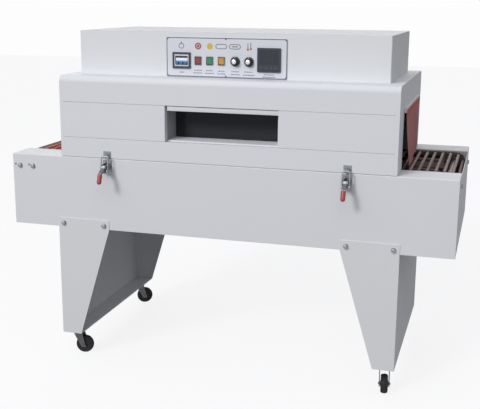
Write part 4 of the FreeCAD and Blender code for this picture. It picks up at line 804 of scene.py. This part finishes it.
wheel_black = finish(
    "wheel_moulding", (0.010, 0.010, 0.0115), rough=(0.42, 0.6), relief=0.2, grain=500.0,
    patch=(0.5, 30.0), Specular_IOR_Level=0.3,
)
tread_black = finish(
    "wheel_tread", (0.013, 0.013, 0.0145), rough=(0.6, 0.8), relief=0.4, grain=300.0, patch=(0.6, 30.0),
    Specular_IOR_Level=0.3,
)
fork_zinc = finish(
    "fork_zinc", (0.105, 0.11, 0.115), rough=(0.36, 0.52), metal=1.0, grain=500.0, patch=(0.3, 70.0)
)


def both_ways(half, middle=()):
    """A profile that is the same below and above its middle."""
    return [(radius, -height) for radius, height in half] + [*middle] + half[::-1]


tread_half = [
    (0.0235, 0.0098), (0.0250, 0.0108), (0.0266, 0.0103), (0.0281, 0.0086), (0.0292, 0.0060),
    (0.0298, 0.0031),
]
core_half = [
    (0.0040, 0.0125), (0.0092, 0.0125), (0.0098, 0.0118), (0.0104, 0.0070), (0.0120, 0.0055),
    (0.0205, 0.0060), (0.0216, 0.0098), (0.0232, 0.0103), (0.0240, 0.0098),
]
joints = {joint["name"]: joint for joint in frame["joints"]}
dress("caster_plates", zinc, 0.0006)
for corner in ("front_left", "back_left", "front_right", "back_right"):
    dress(f"caster_fork_{corner}", fork_zinc, 0.0008)
    axle = joints[f"{corner}_roll"]
    seat = facing(axle["pos_m"], axle["axis"])
    tread, core = turned(both_ways(tread_half, [(0.0300, 0.0)]), 48), turned(both_ways(core_half))
    wheel_mesh = combined(f"wheel_{corner}", [(tread, seat, 1), (core, seat, 0)])
    wheel = new_piece(f"wheel_{corner}", wheel_mesh, wheel_black, tread_black)
    settle(wheel, f"caster_wheel_{corner}")


# Latch clamps: two draw latches hold the hood shut. Each has a pressed base with ears, a bent lever
# with a dipped red grip, and a bent wire hook whose bar lies in front of the keeper's lip on the hood.

latch_zinc = finish("latch_zinc", (0.27, 0.285, 0.305), rough=(0.34, 0.48), patch=(0.3, 90.0), **plated)
lever_zinc = finish(
    "lever_zinc", (0.23, 0.245, 0.265), rough=(0.46, 0.62), metal=1.0, grain=500.0, patch=(0.3, 90.0)
)
dress("clamp_bases", latch_zinc, 0.0006)
dress("clamp_keepers", latch_zinc, 0.0006)
grip_red = finish(
    "dipped_red_vinyl", (0.35, 0.042, 0.040), rough=(0.3, 0.42), relief=0.12, grain=300.0,
    patch=(0.25, 60.0), Coat_Weight=0.12, Coat_Roughness=0.3,
)


def bent_wire(points, radius, rounding, sides=12, steps=6):
    """A round wire along a line of points, with its corners bent to a radius."""
    path = [points[0]]
    for before, corner, after in zip(points, points[1:], points[2:]):
        into, out_of = (before - corner).normalized(), (after - corner).normalized()
        reach = min(rounding, (before - corner).length * 0.45, (after - corner).length * 0.45)
        start, end = corner + into * reach, corner + out_of * reach
        for step in range(steps + 1):
            t = step / steps
            path.append(start * (1 - t) ** 2 + corner * 2 * t * (1 - t) + end * t * t)
    path.append(points[-1])
    bm = bmesh.new()
    rings = []
    side_way = (path[1] - path[0]).normalized().orthogonal().normalized()
    for number, point in enumerate(path):
        way = (path[min(number + 1, len(path) - 1)] - path[max(number - 1, 0)]).normalized()
        side_way = (side_way - way * side_way.dot(way)).normalized()
        other = way.cross(side_way)
        rings.append(
            [bm.verts.new(point + side_way * radius * u + other * radius * v) for u, v in circle(sides)]
        )
    return skin(bm, rings)


grip_tilt, grip_length, grip_end = math.radians(18.4), 0.032, 0.0072
grip_way = Vector((0, -math.sin(grip_tilt), -math.cos(grip_tilt)))
wire_radius, wire_bend, hook_half, eye_rise = 0.0021, 0.006, 0.011, 0.003
bar_inset, bar_drop = 0.0027, 0.0023
eye_half = [(0.0026, 0.0024), (0.0046, 0.0024), (0.0050, 0.0019)]
for side in ("left", "right"):
    dress(f"clamp_lever_{side}", lever_zinc, 0.0012, 3)
    low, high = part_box(f"clamp_grip_{side}")
    thick = (high.x - low.x) / 2
    grip_profile = [(0.0052, 0.0), (0.0062, 0.0), (thick * 0.93, 0.0012), (thick, 0.004), (thick, 0.009)]
    grip_profile += [(thick * 0.97, 0.017), (thick, 0.0235)]
    for step in range(1, 8):
        angle = math.pi / 2 * step / 7
        radius = thick * math.cos(angle) if step < 7 else 0
        grip_profile.append((radius, grip_length - grip_end + grip_end * math.sin(angle)))
    seat = facing((low + high) / 2 - grip_way * grip_length / 2, grip_way, "X")
    grip_mesh = finished_mesh(f"grip_{side}", turned(grip_profile, 28), seat, 60)
    settle(new_piece(f"grip_{side}", grip_mesh, grip_red), f"clamp_grip_{side}")

    eye_x, eye_y, eye_z = joints[f"{side}_hook_tilt"]["pos_m"]
    bar_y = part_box("clamp_keepers")[0].y - bar_inset
    bar_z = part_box(f"clamp_hook_{side}")[1].z - bar_drop
    wire_points = [
        Vector((eye_x + way * hook_half, y, z))
        for way, y, z in (
            (-1, eye_y, eye_z + eye_rise), (-1, bar_y, bar_z), (1, bar_y, bar_z), (1, eye_y, eye_z + eye_rise)
        )
    ]
    shapes = [(bent_wire(wire_points, wire_radius, wire_bend), Matrix.Identity(4), 0)]
    for way in (-1, 1):
        seat = seated((eye_x + hook_half * way, eye_y, eye_z), (0, 90, 0))
        shapes.append((turned(both_ways(eye_half), 24), seat, 0))
    hook = new_piece(f"hook_{side}", combined(f"hook_{side}", shapes), zinc)
    settle(hook, f"clamp_hook_{side}")


# Rear hinges: two zinc plated butt hinges screwed to the back panels. The hood leaf's knuckle turns
# on the pin between the base leaf's two knuckles.

dress("hinge_base_leaves", zinc, 0.0005)
dress("hinge_hood_leaves", zinc, 0.0005)


# Hood shell: a rounded top cover, a front made of two band panels and a sill panel, a back panel, and
# an end frame at each tunnel mouth. All are coated sheet, with thin open seams between them.

hood_coat = {"rough": (0.56, 0.68), "relief": 0.22, **powder_coat}
hood_enamel = finish(
    "hood_powder_coat", (0.715, 0.725, 0.760), patch=(0.03, 2.4), wear_and_highlight=0.45, Specular_IOR_Level=0.14,
    **hood_coat,
)
for shell in ("top_cover", "front_panels", "back_panel", "end_frame_left", "end_frame_right"):
    dress(f"hood_{shell}", hood_enamel, 0.0003)


# Seam flanges: each sheet of the hood has a narrow flange folded behind its neighbour's edge, which
# closes the seam from inside. They leave only a fine groove to see. Those at the ends are coated with
# the hood; those along the front and back are a darker grey, painted shade in the groove.

flange_wall, groove_depth, end_seam_depth = 0.0009, 0.0006, 0.0001


def seam_strip(line, start_x, end_x, depth=groove_depth, number=1):
    """A strip under the hood's skin along a line of (y, z) points with their outward directions."""
    bm = bmesh.new()
    under = depth + flange_wall
    rings = []
    for (y, z), (out_y, out_z) in line:
        corners = ((start_x, depth), (end_x, depth), (end_x, under), (start_x, under))
        rings.append([bm.verts.new((x, y - out_y * level, z - out_z * level)) for x, level in corners])
    return skin(bm, rings), Matrix.Identity(4), number


cover_low, cover_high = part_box("hood_top_cover")
front_y, back_y, skin_end = cover_low.y, cover_high.y, cover_high.x
hood_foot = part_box("hood_front_panels")[0].z
end_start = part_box("hood_end_frame_right")[0].x
glazing_low, glazing_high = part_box("window_frame")
seam_gap = end_start - skin_end
corner_radius, corner_steps = 0.020, 8
outline = [((front_y, hood_foot), (-1, 0))]
for centre_y, start in ((front_y + corner_radius, math.pi), (back_y - corner_radius, math.pi / 2)):
    for step in range(corner_steps + 1):
        angle = start - math.pi / 2 * step / corner_steps
        way = (math.cos(angle), math.sin(angle))
        centre_z = cover_high.z - corner_radius
        outline.append(((centre_y + way[0] * corner_radius, centre_z + way[1] * corner_radius), way))
outline.append(((back_y, hood_foot), (1, 0)))
flanges = [
    seam_strip(outline, start_x, end_x, end_seam_depth, 0)
    for start_x, end_x in ((skin_end, end_start), (-end_start, -skin_end))
]
seam_overlap = 0.0015
for seam_z in (glazing_low.z, cover_low.z - seam_gap):
    line = [((front_y, seam_z), (-1, 0)), ((front_y, seam_z + seam_gap), (-1, 0))]
    flanges.append(seam_strip(line, -skin_end, glazing_low.x + seam_overlap))
    flanges.append(seam_strip(line, glazing_high.x - seam_overlap, skin_end))
back_line = [((back_y, cover_low.z - seam_gap), (1, 0)), ((back_y, cover_low.z), (1, 0))]
flanges.append(seam_strip(back_line, -skin_end, skin_end))
# A darker grey for the front and back seam flanges: painted shade in the fine grooves.
seam_groove_shade = finish(
    "seam_flange_painted_shade", (0.40, 0.405, 0.425), rough=(0.6, 0.72), relief=0.22, grain=420.0,
    patch=(0.1, 12.0), Specular_IOR_Level=0.2,
)
flange_mesh = combined("seam_flanges", flanges)
settle(new_piece("seam_flanges", flange_mesh, hood_enamel, seam_groove_shade))


# Observation window: a folded frame lines the deep opening, with a head strip nearly flush with the
# hood's front, and smoked heat-proof glass closes it at the tunnel.

frame_coat_shaded_left = finish(
    "window_frame_coat", (0.705, 0.715, 0.745), patch=(0.03, 2.4), wear_and_highlight=0.45, Specular_IOR_Level=0.24,
    **hood_coat,
)
# The frame's left bar and its reveal pass into a darker grey: painted shade on the left side of the opening.
blend_along(frame_coat_shaded_left, 0, glazing_low.x + 0.0042, glazing_low.x + 0.0038, (0.33, 0.335, 0.35))
dress("window_frame", frame_coat_shaded_left, 0.0003)


def block(low, high):
    """A plain block between two corners."""
    bm = bmesh.new()
    bmesh.ops.create_cube(bm, size=1.0)
    bmesh.ops.scale(bm, vec=high - low, verts=bm.verts)
    bmesh.ops.translate(bm, vec=(low + high) / 2, verts=bm.verts)
    return bm


head_setback, head_height, head_top_gap = 0.0042, 0.0160, 0.0016
head_left_gap, head_right_gap = 0.0080, 0.0017
head_strip = block(
    Vector((glazing_low.x + head_left_gap, front_y + head_setback, glazing_high.z - head_height)),
    Vector((glazing_high.x - head_right_gap, glazing_low.y, glazing_high.z - head_top_gap)),
)
break_edges(head_strip, 0.0009, 3)
settle(new_piece("window_head", finished_mesh("window_head", head_strip), hood_enamel))
smoked_glass = finish(
    "smoked_glass", (0.032, 0.033, 0.038), rough=(0.07, 0.14), relief=0.02, grain=40.0, patch=(0.3, 8.0),
    Specular_IOR_Level=0.09,
)
dress("window_glass", smoked_glass, 0.0008)


# Tunnel lining: a folded liner sheet, mineral wool between it and the shell, and a circulation wheel
# under the ceiling whose motor stands in the control box.

wool = finish(
    "mineral_wool", (0.46, 0.45, 0.42), rough=(0.85, 1.0), relief=1.0, grain=160.0, stretch=(1, 1, 3),
    patch=(0.5, 30.0), depth=0.002,
)
dress("tunnel_liner", galvanised, 0.0003)
dress("hood_insulation", wool, 0.0015)
dress("fan_impeller", heater_steel, 0.0004, 1)
dress("fan_motor", hammer_paint, 0.0015)


# Curtains: a strip of coated glass cloth hangs from a clamping bar in front of each tunnel mouth and
# keeps the heat in. The cloth is brick red and hangs in slack, shallow waves.

dress("curtain_bars", hood_enamel, 0.0008)
weave_group, given = shader_group("plain_weave", {"Threads": 900.0}, "Height")
split = put(
    weave_group, "ShaderNodeSeparateXYZ", {0: put(weave_group, "ShaderNodeUVMap", uv_map="cloth")}
)
waves = []
for way in (0, 1):
    counted = calc(weave_group, "MULTIPLY", split.outputs[way], given["Threads"])
    waves.append(calc(weave_group, "ABSOLUTE", calc(weave_group, "SINE", counted)))
put(weave_group, "NodeGroupOutput", {"Height": calc(weave_group, "MULTIPLY", *waves)})

curtain_cloth = finish(
    "brick_red_cloth", (0.430, 0.175, 0.178), rough=(0.7, 0.9), relief=0.2, grain=200.0,
    patch=(0.6, 14.0), Specular_IOR_Level=0.2,
)
# The cloth passes into a brighter orange red towards its top: a painted highlight where the upper cloth catches
# the light.
blend_along(curtain_cloth, 2, 0.820, 0.866, (0.52, 0.130, 0.100))
cloth_tree = curtain_cloth.node_tree
weave = {"Height": use(cloth_tree, weave_group, Threads=3600.0), "Strength": 0.35, "Distance": 0.0003}
weave["Normal"] = node_of(curtain_cloth, "ShaderNodeBump")
weave_bump = put(cloth_tree, "ShaderNodeBump", weave)
cloth_normal = node_of(curtain_cloth, "ShaderNodeBsdfPrincipled").inputs["Normal"]
cloth_tree.links.new(weave_bump.outputs[0], cloth_normal)
cloth_swing, cloth_thickness = 0.016, 0.0008
cloth_waves = ((0.0022, 2.5, 0), (0.0012, 5.0, 1), (0.0006, 9.0, -2))


def hanging_cloth(name, low, high, outward, seed, swing=cloth_swing, down=28, across=56):
    """A thin sheet held flat at its top, which waves and swings outward towards its free front corner."""
    width, drop = high.y - low.y, high.z - low.z
    middle_x = (low.x + high.x) / 2
    chance = random.Random(seed)
    phases = [chance.uniform(0, 2 * math.pi) for _ in cloth_waves]
    bm = bmesh.new()
    uv = bm.loops.layers.uv.new("cloth")
    grid = []
    for v in (row / down for row in range(down + 1)):
        line = []
        for u in (column / across for column in range(across + 1)):
            wave = sum(
                height * math.sin(2 * math.pi * count * u + phase + drift * v)
                for (height, count, drift), phase in zip(cloth_waves, phases)
            )
            x = middle_x + wave * v**1.3 * swing / cloth_swing
            x += outward * swing * v**1.5 * (1 - 0.85 * u) ** 1.5
            line.append(bm.verts.new((x, low.y + width * u, high.z - drop * v * (1 - 0.03 * u))))
        grid.append(line)
    for row in range(down):
        for column in range(across):
            corners = [(row, column), (row + 1, column), (row + 1, column + 1), (row, column + 1)]
            face = bm.faces.new([grid[r][c] for r, c in corners])
            for loop, (r, c) in zip(face.loops, corners):
                loop[uv].uv = (c / across * width, r / down * drop)
    bmesh.ops.recalc_face_normals(bm, faces=bm.faces)
    made = new_piece(name, finished_mesh(name, bm, angle=60), curtain_cloth)
    wall = made.modifiers.new("cloth_thickness", "SOLIDIFY")
    wall.thickness = cloth_thickness
    wall.offset = 0
    return made, (width, drop)


for side, outward, seed in (("left", -1, 4), ("right", 1, 9)):
    low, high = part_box(f"curtain_{side}")
    cloth, flat = hanging_cloth(f"curtain_cloth_{side}", low, high, outward, seed)
    settle(cloth, f"curtain_{side}")
    bar_x = (low.x if outward < 0 else high.x) + outward * 0.00045
    hem_low, hem_high = Vector((bar_x, low.y, high.z + 0.0003)), Vector((bar_x, high.y, high.z + 0.0108))
    hem = hanging_cloth(f"curtain_hem_{side}", hem_low, hem_high, outward, seed + 1, 0.0004, 4)[0]
    settle(hem)


# Control box: a folded cover on the hood, with vent slots behind and the switch panel in front. It
# has the hood's coat, a little paler.

box_enamel = finish(
    "box_powder_coat", (0.72, 0.73, 0.755), patch=(0.03, 2.8), wear_and_highlight=0.5, Specular_IOR_Level=0.10,
    **hood_coat | {"wear_and_highlight_colour": (0.82, 0.83, 0.85)},
)
box_low, box_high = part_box("control_box_cover")
# Its top face passes into a darker grey: painted shade that dims the top.
blend_along(box_enamel, 2, box_high.z - 0.0010, box_high.z - 0.0002, (0.60, 0.605, 0.62))
dress("control_box_cover", box_enamel, 0.0009, 3)


# Switch panel: a printed face plate with a dark border, round indicator marks over the switches and
# short plain bars under them. The prints are thin raised ink on the plate.

plate_paint = finish(
    "face_plate_paint", (0.665, 0.68, 0.735), rough=(0.32, 0.42), relief=0.08, grain=500.0,
    patch=(0.05, 8.0), wear_and_highlight=0.4,
)
dress("control_panel", plate_paint, 0.0004, 1)
ink_colours = {
    "dark": (0.085, 0.095, 0.135), "red": (0.36, 0.12, 0.12), "yellow": (0.60, 0.42, 0.07),
    "grey": (0.19, 0.20, 0.23), "border": (0.14, 0.15, 0.20),
}
inks = [
    finish(f"{name}_ink", colour, rough=(0.4, 0.5), patch=(0.2, 40.0)) for name, colour in ink_colours.items()
]
dark, red, yellow, grey, border = range(len(inks))
plate_face = box_low.y - 0.002
hood_top = box_low.z
ink_lift, ink_thickness = 0.00015, 0.00025


def pad(outline, number, inner=None, y=plate_face - ink_lift, depth=ink_thickness):
    """A thin pad in the panel's plane, from y over a depth. The outline and a hole in it are (x, z) pairs."""
    bm = bmesh.new()
    rims = [[bm.verts.new((x, y, z)) for x, z in ring] for ring in (outline, inner) if ring]
    if inner:
        skin(bm, rims, capped=False)
    else:
        bm.faces.new(rims[0])
    bmesh.ops.recalc_face_normals(bm, faces=bm.faces)
    for face in bm.faces:
        if face.normal.y > 0:
            face.normal_flip()
    raised = bmesh.ops.extrude_face_region(bm, geom=list(bm.faces))
    verts = [item for item in raised["geom"] if isinstance(item, bmesh.types.BMVert)]
    bmesh.ops.translate(bm, verts=verts, vec=(0, depth, 0))
    bmesh.ops.recalc_face_normals(bm, faces=bm.faces)
    return bm, Matrix.Identity(4), number


def rounded(x, z, half_x, half_z, radius, steps=6):
    """Outline of a rectangle with round corners."""
    points = []
    for corner, (sx, sz) in enumerate(((1, 1), (-1, 1), (-1, -1), (1, -1))):
        for step in range(steps + 1):
            angle = math.pi / 2 * (corner + step / steps)
            across, up = sx * (half_x - radius), sz * (half_z - radius)
            points.append((x + across + radius * math.cos(angle), z + up + radius * math.sin(angle)))
    return points


def ring_print(x, z, half_x, half_z, line, number):
    round_end = min(half_x, half_z) * 0.999
    outer = rounded(x, z, half_x, half_z, round_end)
    inner = rounded(x, z, half_x - line, half_z - line, max(round_end - line, 0.0001))
    return pad(outer, number, inner)


panel_low, panel_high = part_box("control_panel")
plate_x, _, plate_z = (panel_low + panel_high) / 2
half_x, _, half_z = (panel_high - panel_low) / 2
prints = [
    pad(
        rounded(plate_x, plate_z, half_x - 0.0004, half_z - 0.0004, 0.0035),
        border,
        rounded(plate_x, plate_z, half_x - 0.0032, half_z - 0.0032, 0.0080),
    )
]
for notch_z in (plate_z - half_z + 0.0042, plate_z + half_z - 0.0042):
    prints.append(pad(rounded(plate_x, notch_z, 0.0028, 0.0028, 0.0027), border))
icon_z = hood_top + 0.095
for x, ring_half_x, ring_half_z, line, number in (
    (-0.151, 0.0088, 0.0088, 0.0023, grey),
    (-0.0967, 0.0105, 0.0105, 0.0050, red),
    (-0.0225, 0.0185, 0.0078, 0.0024, grey),
    (0.0208, 0.0185, 0.0078, 0.0024, grey),
):
    prints.append(ring_print(x, icon_z, ring_half_x, ring_half_z, line, number))
for x, rise, pad_half_x, pad_half_z, radius, number in (
    (-0.151, 0.009, 0.0012, 0.0045, 0.0004, grey),
    (-0.0967, 0, 0.0044, 0.0044, 0.0043, red),
    (-0.0589, 0, 0.0095, 0.0095, 0.0094, yellow),
    (0.0208, 0, 0.0095, 0.0016, 0.0012, grey),
    (0.0615, 0.003, 0.0013, 0.0085, 0.0012, grey),
    (0.0615, -0.0075, 0.0034, 0.0034, 0.0033, red),
    (0.0705, 0.005, 0.0013, 0.0085, 0.0012, grey),
    (0.0705, -0.0055, 0.0034, 0.0034, 0.0033, red),
):
    prints.append(pad(rounded(x, icon_z + rise, pad_half_x, pad_half_z, radius), number))
chance = random.Random(12)
upper_row_share, bar_gap, bar_half_height = 0.78, 0.0013, 0.0014
bar_groups = (
    (-0.150, 0.0100, [0.0145], red),
    (-0.097, 0.0155, [0.0215, 0.0135], grey),
    (-0.0595, 0.0145, [0.0215, 0.0130], grey),
    (-0.0220, 0.0125, [0.0205, 0.0125], grey),
    (0.022, 0.0150, [0.0205, 0.0115], grey),
    (0.0655, 0.0185, [0.0205, 0.0110], grey),
    (0.128, 0.0200, [0.0140, 0.0070], grey),
)
for bar_x, bar_half, heights, number in bar_groups:
    for height, share in zip(heights, (upper_row_share, 1.0)):
        start, end = bar_x - bar_half * share, bar_x + bar_half * share
        while start < end - 0.002:
            length = min(chance.uniform(0.0026, 0.0068), end - start)
            bar = rounded(start + length / 2, hood_top + height, length / 2, bar_half_height, 0.0005, 2)
            prints.append(pad(bar, number))
            start += length + bar_gap
settle(new_piece("panel_prints", combined("panel_prints", prints), *inks))


# Main breaker: a dark case with a pale window surround and three blue handles tied together, which
# hang down when the machine is off. They stand on a drum that turns behind the surround.

case_dark = finish(
    "breaker_case", (0.030, 0.034, 0.055), rough=(0.35, 0.5), relief=0.15, grain=700.0, patch=(0.3, 40.0)
)
handle_blue = finish(
    "breaker_handles", (0.075, 0.18, 0.42), rough=(0.28, 0.4), grain=600.0, patch=(0.2, 60.0)
)
pale_moulding = {"rough": (0.35, 0.5), "grain": 600.0, "patch": (0.1, 60.0)}
surround_white = finish("breaker_surround", (0.70, 0.76, 0.80), **pale_moulding)
drum_pale = finish("breaker_drum", (0.74, 0.80, 0.83), **pale_moulding)
dress("breaker_body", case_dark, 0.0012, 3)
dress("breaker_toggle", handle_blue, 0.0009, 3)

drum_x, drum_y, drum_z = joints["breaker_switch"]["pos_m"]
blend_along(drum_pale, 2, drum_z + 0.002, drum_z - 0.007, (0.27, 0.47, 0.76))
drum_half, drum_wall = 0.0188, 0.0008
outside = drum_y - (plate_face - 0.0018)
drum_corners = [(-drum_half, outside), (drum_half, outside)]
drum_corners += [(x, outside - drum_wall) for x in (drum_half, -drum_half)]
drum = bmesh.new()
drum_rows = []
for angle in (math.radians(-72 + 6 * step) for step in range(25)):
    across, up = math.cos(angle), math.sin(angle)
    row = [(drum_x + x, drum_y - level * across, drum_z + level * up) for x, level in drum_corners]
    drum_rows.append([drum.verts.new(place) for place in row])
drum_piece = new_piece("breaker_drum", finished_mesh("breaker_drum", skin(drum, drum_rows)), drum_pale)
settle(drum_piece, body=body_of_node["breaker_toggle"])
case_low, case_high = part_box("breaker_body")
case_x, _, case_z = (case_low + case_high) / 2
case_depth, case_lip = 0.005, 0.003
window_floor = plate_face - case_depth + case_lip
surround, _, _ = pad(
    rounded(case_x, case_z, 0.0228, 0.0178, 0.0012),
    0,
    rounded(case_x, case_z, 0.0206, 0.0138, 0.0012),
    window_floor - 0.0002,
    -0.0012,
)
surround_mesh = finished_mesh("breaker_surround", surround)
settle(new_piece("breaker_surround", surround_mesh, surround_white))


# Rocker switches: three lit rockers, red, green and amber, in black frames that stand on the plate.
# The lenses are clear tinted plastic with a gloss, and each tilts in its frame.

frame_black = finish(
    "rocker_frame", (0.030, 0.031, 0.034), rough=(0.35, 0.5), relief=0.12, grain=700.0, patch=(0.2, 60.0)
)
rocker_looks = {"red": (0.26, 0.042, 0.042), "green": (0.013, 0.25, 0.095), "amber": (0.56, 0.29, 0.045)}
frame_shapes = []
for colour, shade in rocker_looks.items():
    lens = finish(
        f"rocker_lens_{colour}", shade, rough=(0.16, 0.26), relief=0.05, grain=500.0, patch=(0.25, 60.0),
        Coat_Weight=0.4, Coat_Roughness=0.12,
    )
    dress(f"rocker_{colour}", lens, 0.0008, 3)
    low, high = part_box(f"rocker_{colour}")
    x, _, z = (low + high) / 2
    outer = rounded(x, z, 0.0117, 0.0137, 0.0018)
    inner = rounded(x, z, 0.0090, 0.0110, 0.0004)
    bm = bmesh.new()
    rings = [
        [bm.verts.new((u, plate_face - proud, w)) for u, w in ring]
        for ring, proud in ((outer, 0), (outer, 0.0018), (inner, 0.0024), (inner, 0))
    ]
    frame_shapes.append((skin(bm, [*rings, rings[0]], capped=False), Matrix.Identity(4), 0))
rocker_frames = new_piece("rocker_frames", combined("rocker_frames", frame_shapes), frame_black)
settle(rocker_frames)


# Speed and fan knobs: black fluted knobs with a skirt and a bright turned cap, each with a white
# pointer line. Both turn through most of a circle.

knob_black = finish(
    "knob_moulding", (0.020, 0.020, 0.022), rough=(0.3, 0.45), relief=0.12, grain=700.0, patch=(0.3, 60.0)
)
cap_bright = finish(
    "knob_cap", (0.72, 0.73, 0.74), rough=(0.25, 0.36), metal=0.7, relief=0.06, grain=400.0,
    patch=(0.1, 60.0),
)
skirt_profile = [(0.0145, 0.0), (0.0150, 0.0006), (0.0148, 0.0022), (0.0138, 0.0034), (0.0105, 0.0040)]
cap_profile = [(0.0068, 0.0150), (0.0068, 0.0158), (0.0060, 0.0163), (0.0, 0.0164)]
flute_depth, flute_top = 0.00045, 0.015


def fluted_knob():
    """Skirt, fluted grip, cap and pointer of a knob along Z, with its base at height zero."""
    grip = bmesh.new()
    rings = []
    for height, radius in ((0.0036, 0.0108), (0.0120, 0.0102), (0.0148, 0.0099), (0.0158, 0.0090)):
        ring = []
        for side, (u, v) in enumerate(circle(60)):
            notch = flute_depth * (1 if side % 3 else -1) if height < flute_top else 0
            ring.append(grip.verts.new(((radius + notch) * u, (radius + notch) * v, height)))
        rings.append(ring)
    pointer = block(Vector((-0.00065, 0.0098, 0.0034)), Vector((0.00065, 0.0148, 0.0042)))
    return [(turned(skirt_profile, 48), 0), (skin(grip, rings), 0), (turned(cap_profile), 1), (pointer, 1)]


for knob_name in ("speed", "fan"):
    x, _, z = sum(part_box(f"knob_{knob_name}"), Vector()) / 2
    seat = seated((x, plate_face - 0.0003, z), (90, 0, 0))
    knob_mesh = combined(f"knob_{knob_name}", [(bm, seat, number) for bm, number in fluted_knob()])
    knob_piece = new_piece(f"knob_{knob_name}_turned", knob_mesh, knob_black, cap_bright)
    settle(knob_piece, f"knob_{knob_name}")


# Dial ticks round both knobs, printed on the plate in dark ink from the lowest to the highest
# setting. Those at the ends and in the middle are longer.

tick_start, tick_end, long_tick_end, tick_half = 0.0162, 0.0188, 0.0198, 0.0003
tick_count, knob_sweep = 11, 280
ticks = []
for knob_name in ("speed", "fan"):
    centre_x, _, centre_z = sum(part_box(f"knob_{knob_name}"), Vector()) / 2
    for step in range(tick_count):
        angle = math.radians(90 + knob_sweep / 2 - knob_sweep / (tick_count - 1) * step)
        u, v = math.cos(angle), math.sin(angle)
        end = tick_end if step % 5 else long_tick_end
        corners = ((tick_start, -tick_half), (end, -tick_half), (end, tick_half), (tick_start, tick_half))
        outline = [(centre_x + u * out - v * side, centre_z + v * out + u * side) for out, side in corners]
        ticks.append(pad(outline, 0))
settle(new_piece("dial_ticks", combined("dial_ticks", ticks), inks[dark]))


# Temperature controller: a black bezel with a dark screen that has two rows of digit segments, and
# four small keys below it.

controller_black = finish(
    "controller_case", (0.017, 0.021, 0.036), rough=(0.4, 0.55), relief=0.12, grain=700.0, patch=(0.25, 40.0)
)
dress("temperature_controller", controller_black, 0.0012, 3)
face_materials = [
    finish("controller_screen", (0.015, 0.019, 0.033), rough=(0.16, 0.26), relief=0.02, grain=60.0),
    finish("controller_keys", (0.040, 0.043, 0.055), rough=(0.4, 0.55), grain=500.0),
    finish("digit_segments_red", (0.040, 0.022, 0.030), rough=(0.3, 0.4)),
    finish("digit_segments_green", (0.022, 0.036, 0.034), rough=(0.3, 0.4)),
]
screen_glass, key_grey, digit_red, digit_green = range(len(face_materials))
dial_low, dial_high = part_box("temperature_controller")
dial_x, _, dial_z = (dial_low + dial_high) / 2
seat_depth = 0.0002


def slab(x, z, half_x, half_z, proud, number, radius=0.0008):
    """A thin pad on the controller's face."""
    outline = rounded(x, z, half_x, half_z, radius, 3)
    return pad(outline, number, y=dial_low.y + seat_depth, depth=-seat_depth - proud)


def digit(x, z, height, segments, number):
    """A seven segment digit of slim pads."""
    half_w, half_h, thick = height * 0.26, height / 2, height * 0.055
    level, upright = (half_w - thick, thick), (thick, half_h / 2 - thick)
    layout = {
        "a": (0, half_h, *level), "g": (0, 0, *level), "d": (0, -half_h, *level),
        "f": (-half_w, half_h / 2, *upright), "b": (half_w, half_h / 2, *upright),
        "e": (-half_w, -half_h / 2, *upright), "c": (half_w, -half_h / 2, *upright),
    }
    return [
        slab(x + across, z + up, wide, tall, 0.0009, number, 0.0002)
        for across, up, wide, tall in (layout[segment] for segment in segments)
    ]


pads = [slab(dial_x, dial_z + 0.008, 0.0285, 0.0205, 0.0006, screen_glass)]
for place, segments in enumerate(("bc", "abged", "afgcd")):
    pads += digit(dial_x + (place - 1) * 0.013, dial_z + 0.0165, 0.0130, segments, digit_red)
    pads += digit(dial_x + (place - 1) * 0.011, dial_z - 0.0015, 0.0095, segments, digit_green)
for key in range(4):
    key_x = dial_x - 0.0225 + key * 0.015
    pads.append(slab(key_x, dial_z - 0.0235, 0.0052, 0.0034, 0.0012, key_grey, 0.0012))
settle(new_piece("controller_face", combined("controller_face", pads), *face_materials))


# Cable gland: the black moulded gland in the back panel, with a flange outside the sheet and a dome
# nut round its bore.

gland_black = finish(
    "gland_moulding", (0.022, 0.022, 0.024), rough=(0.4, 0.55), relief=0.15, grain=600.0, patch=(0.3, 50.0)
)
dress("cable_gland", gland_black, 0.0006)
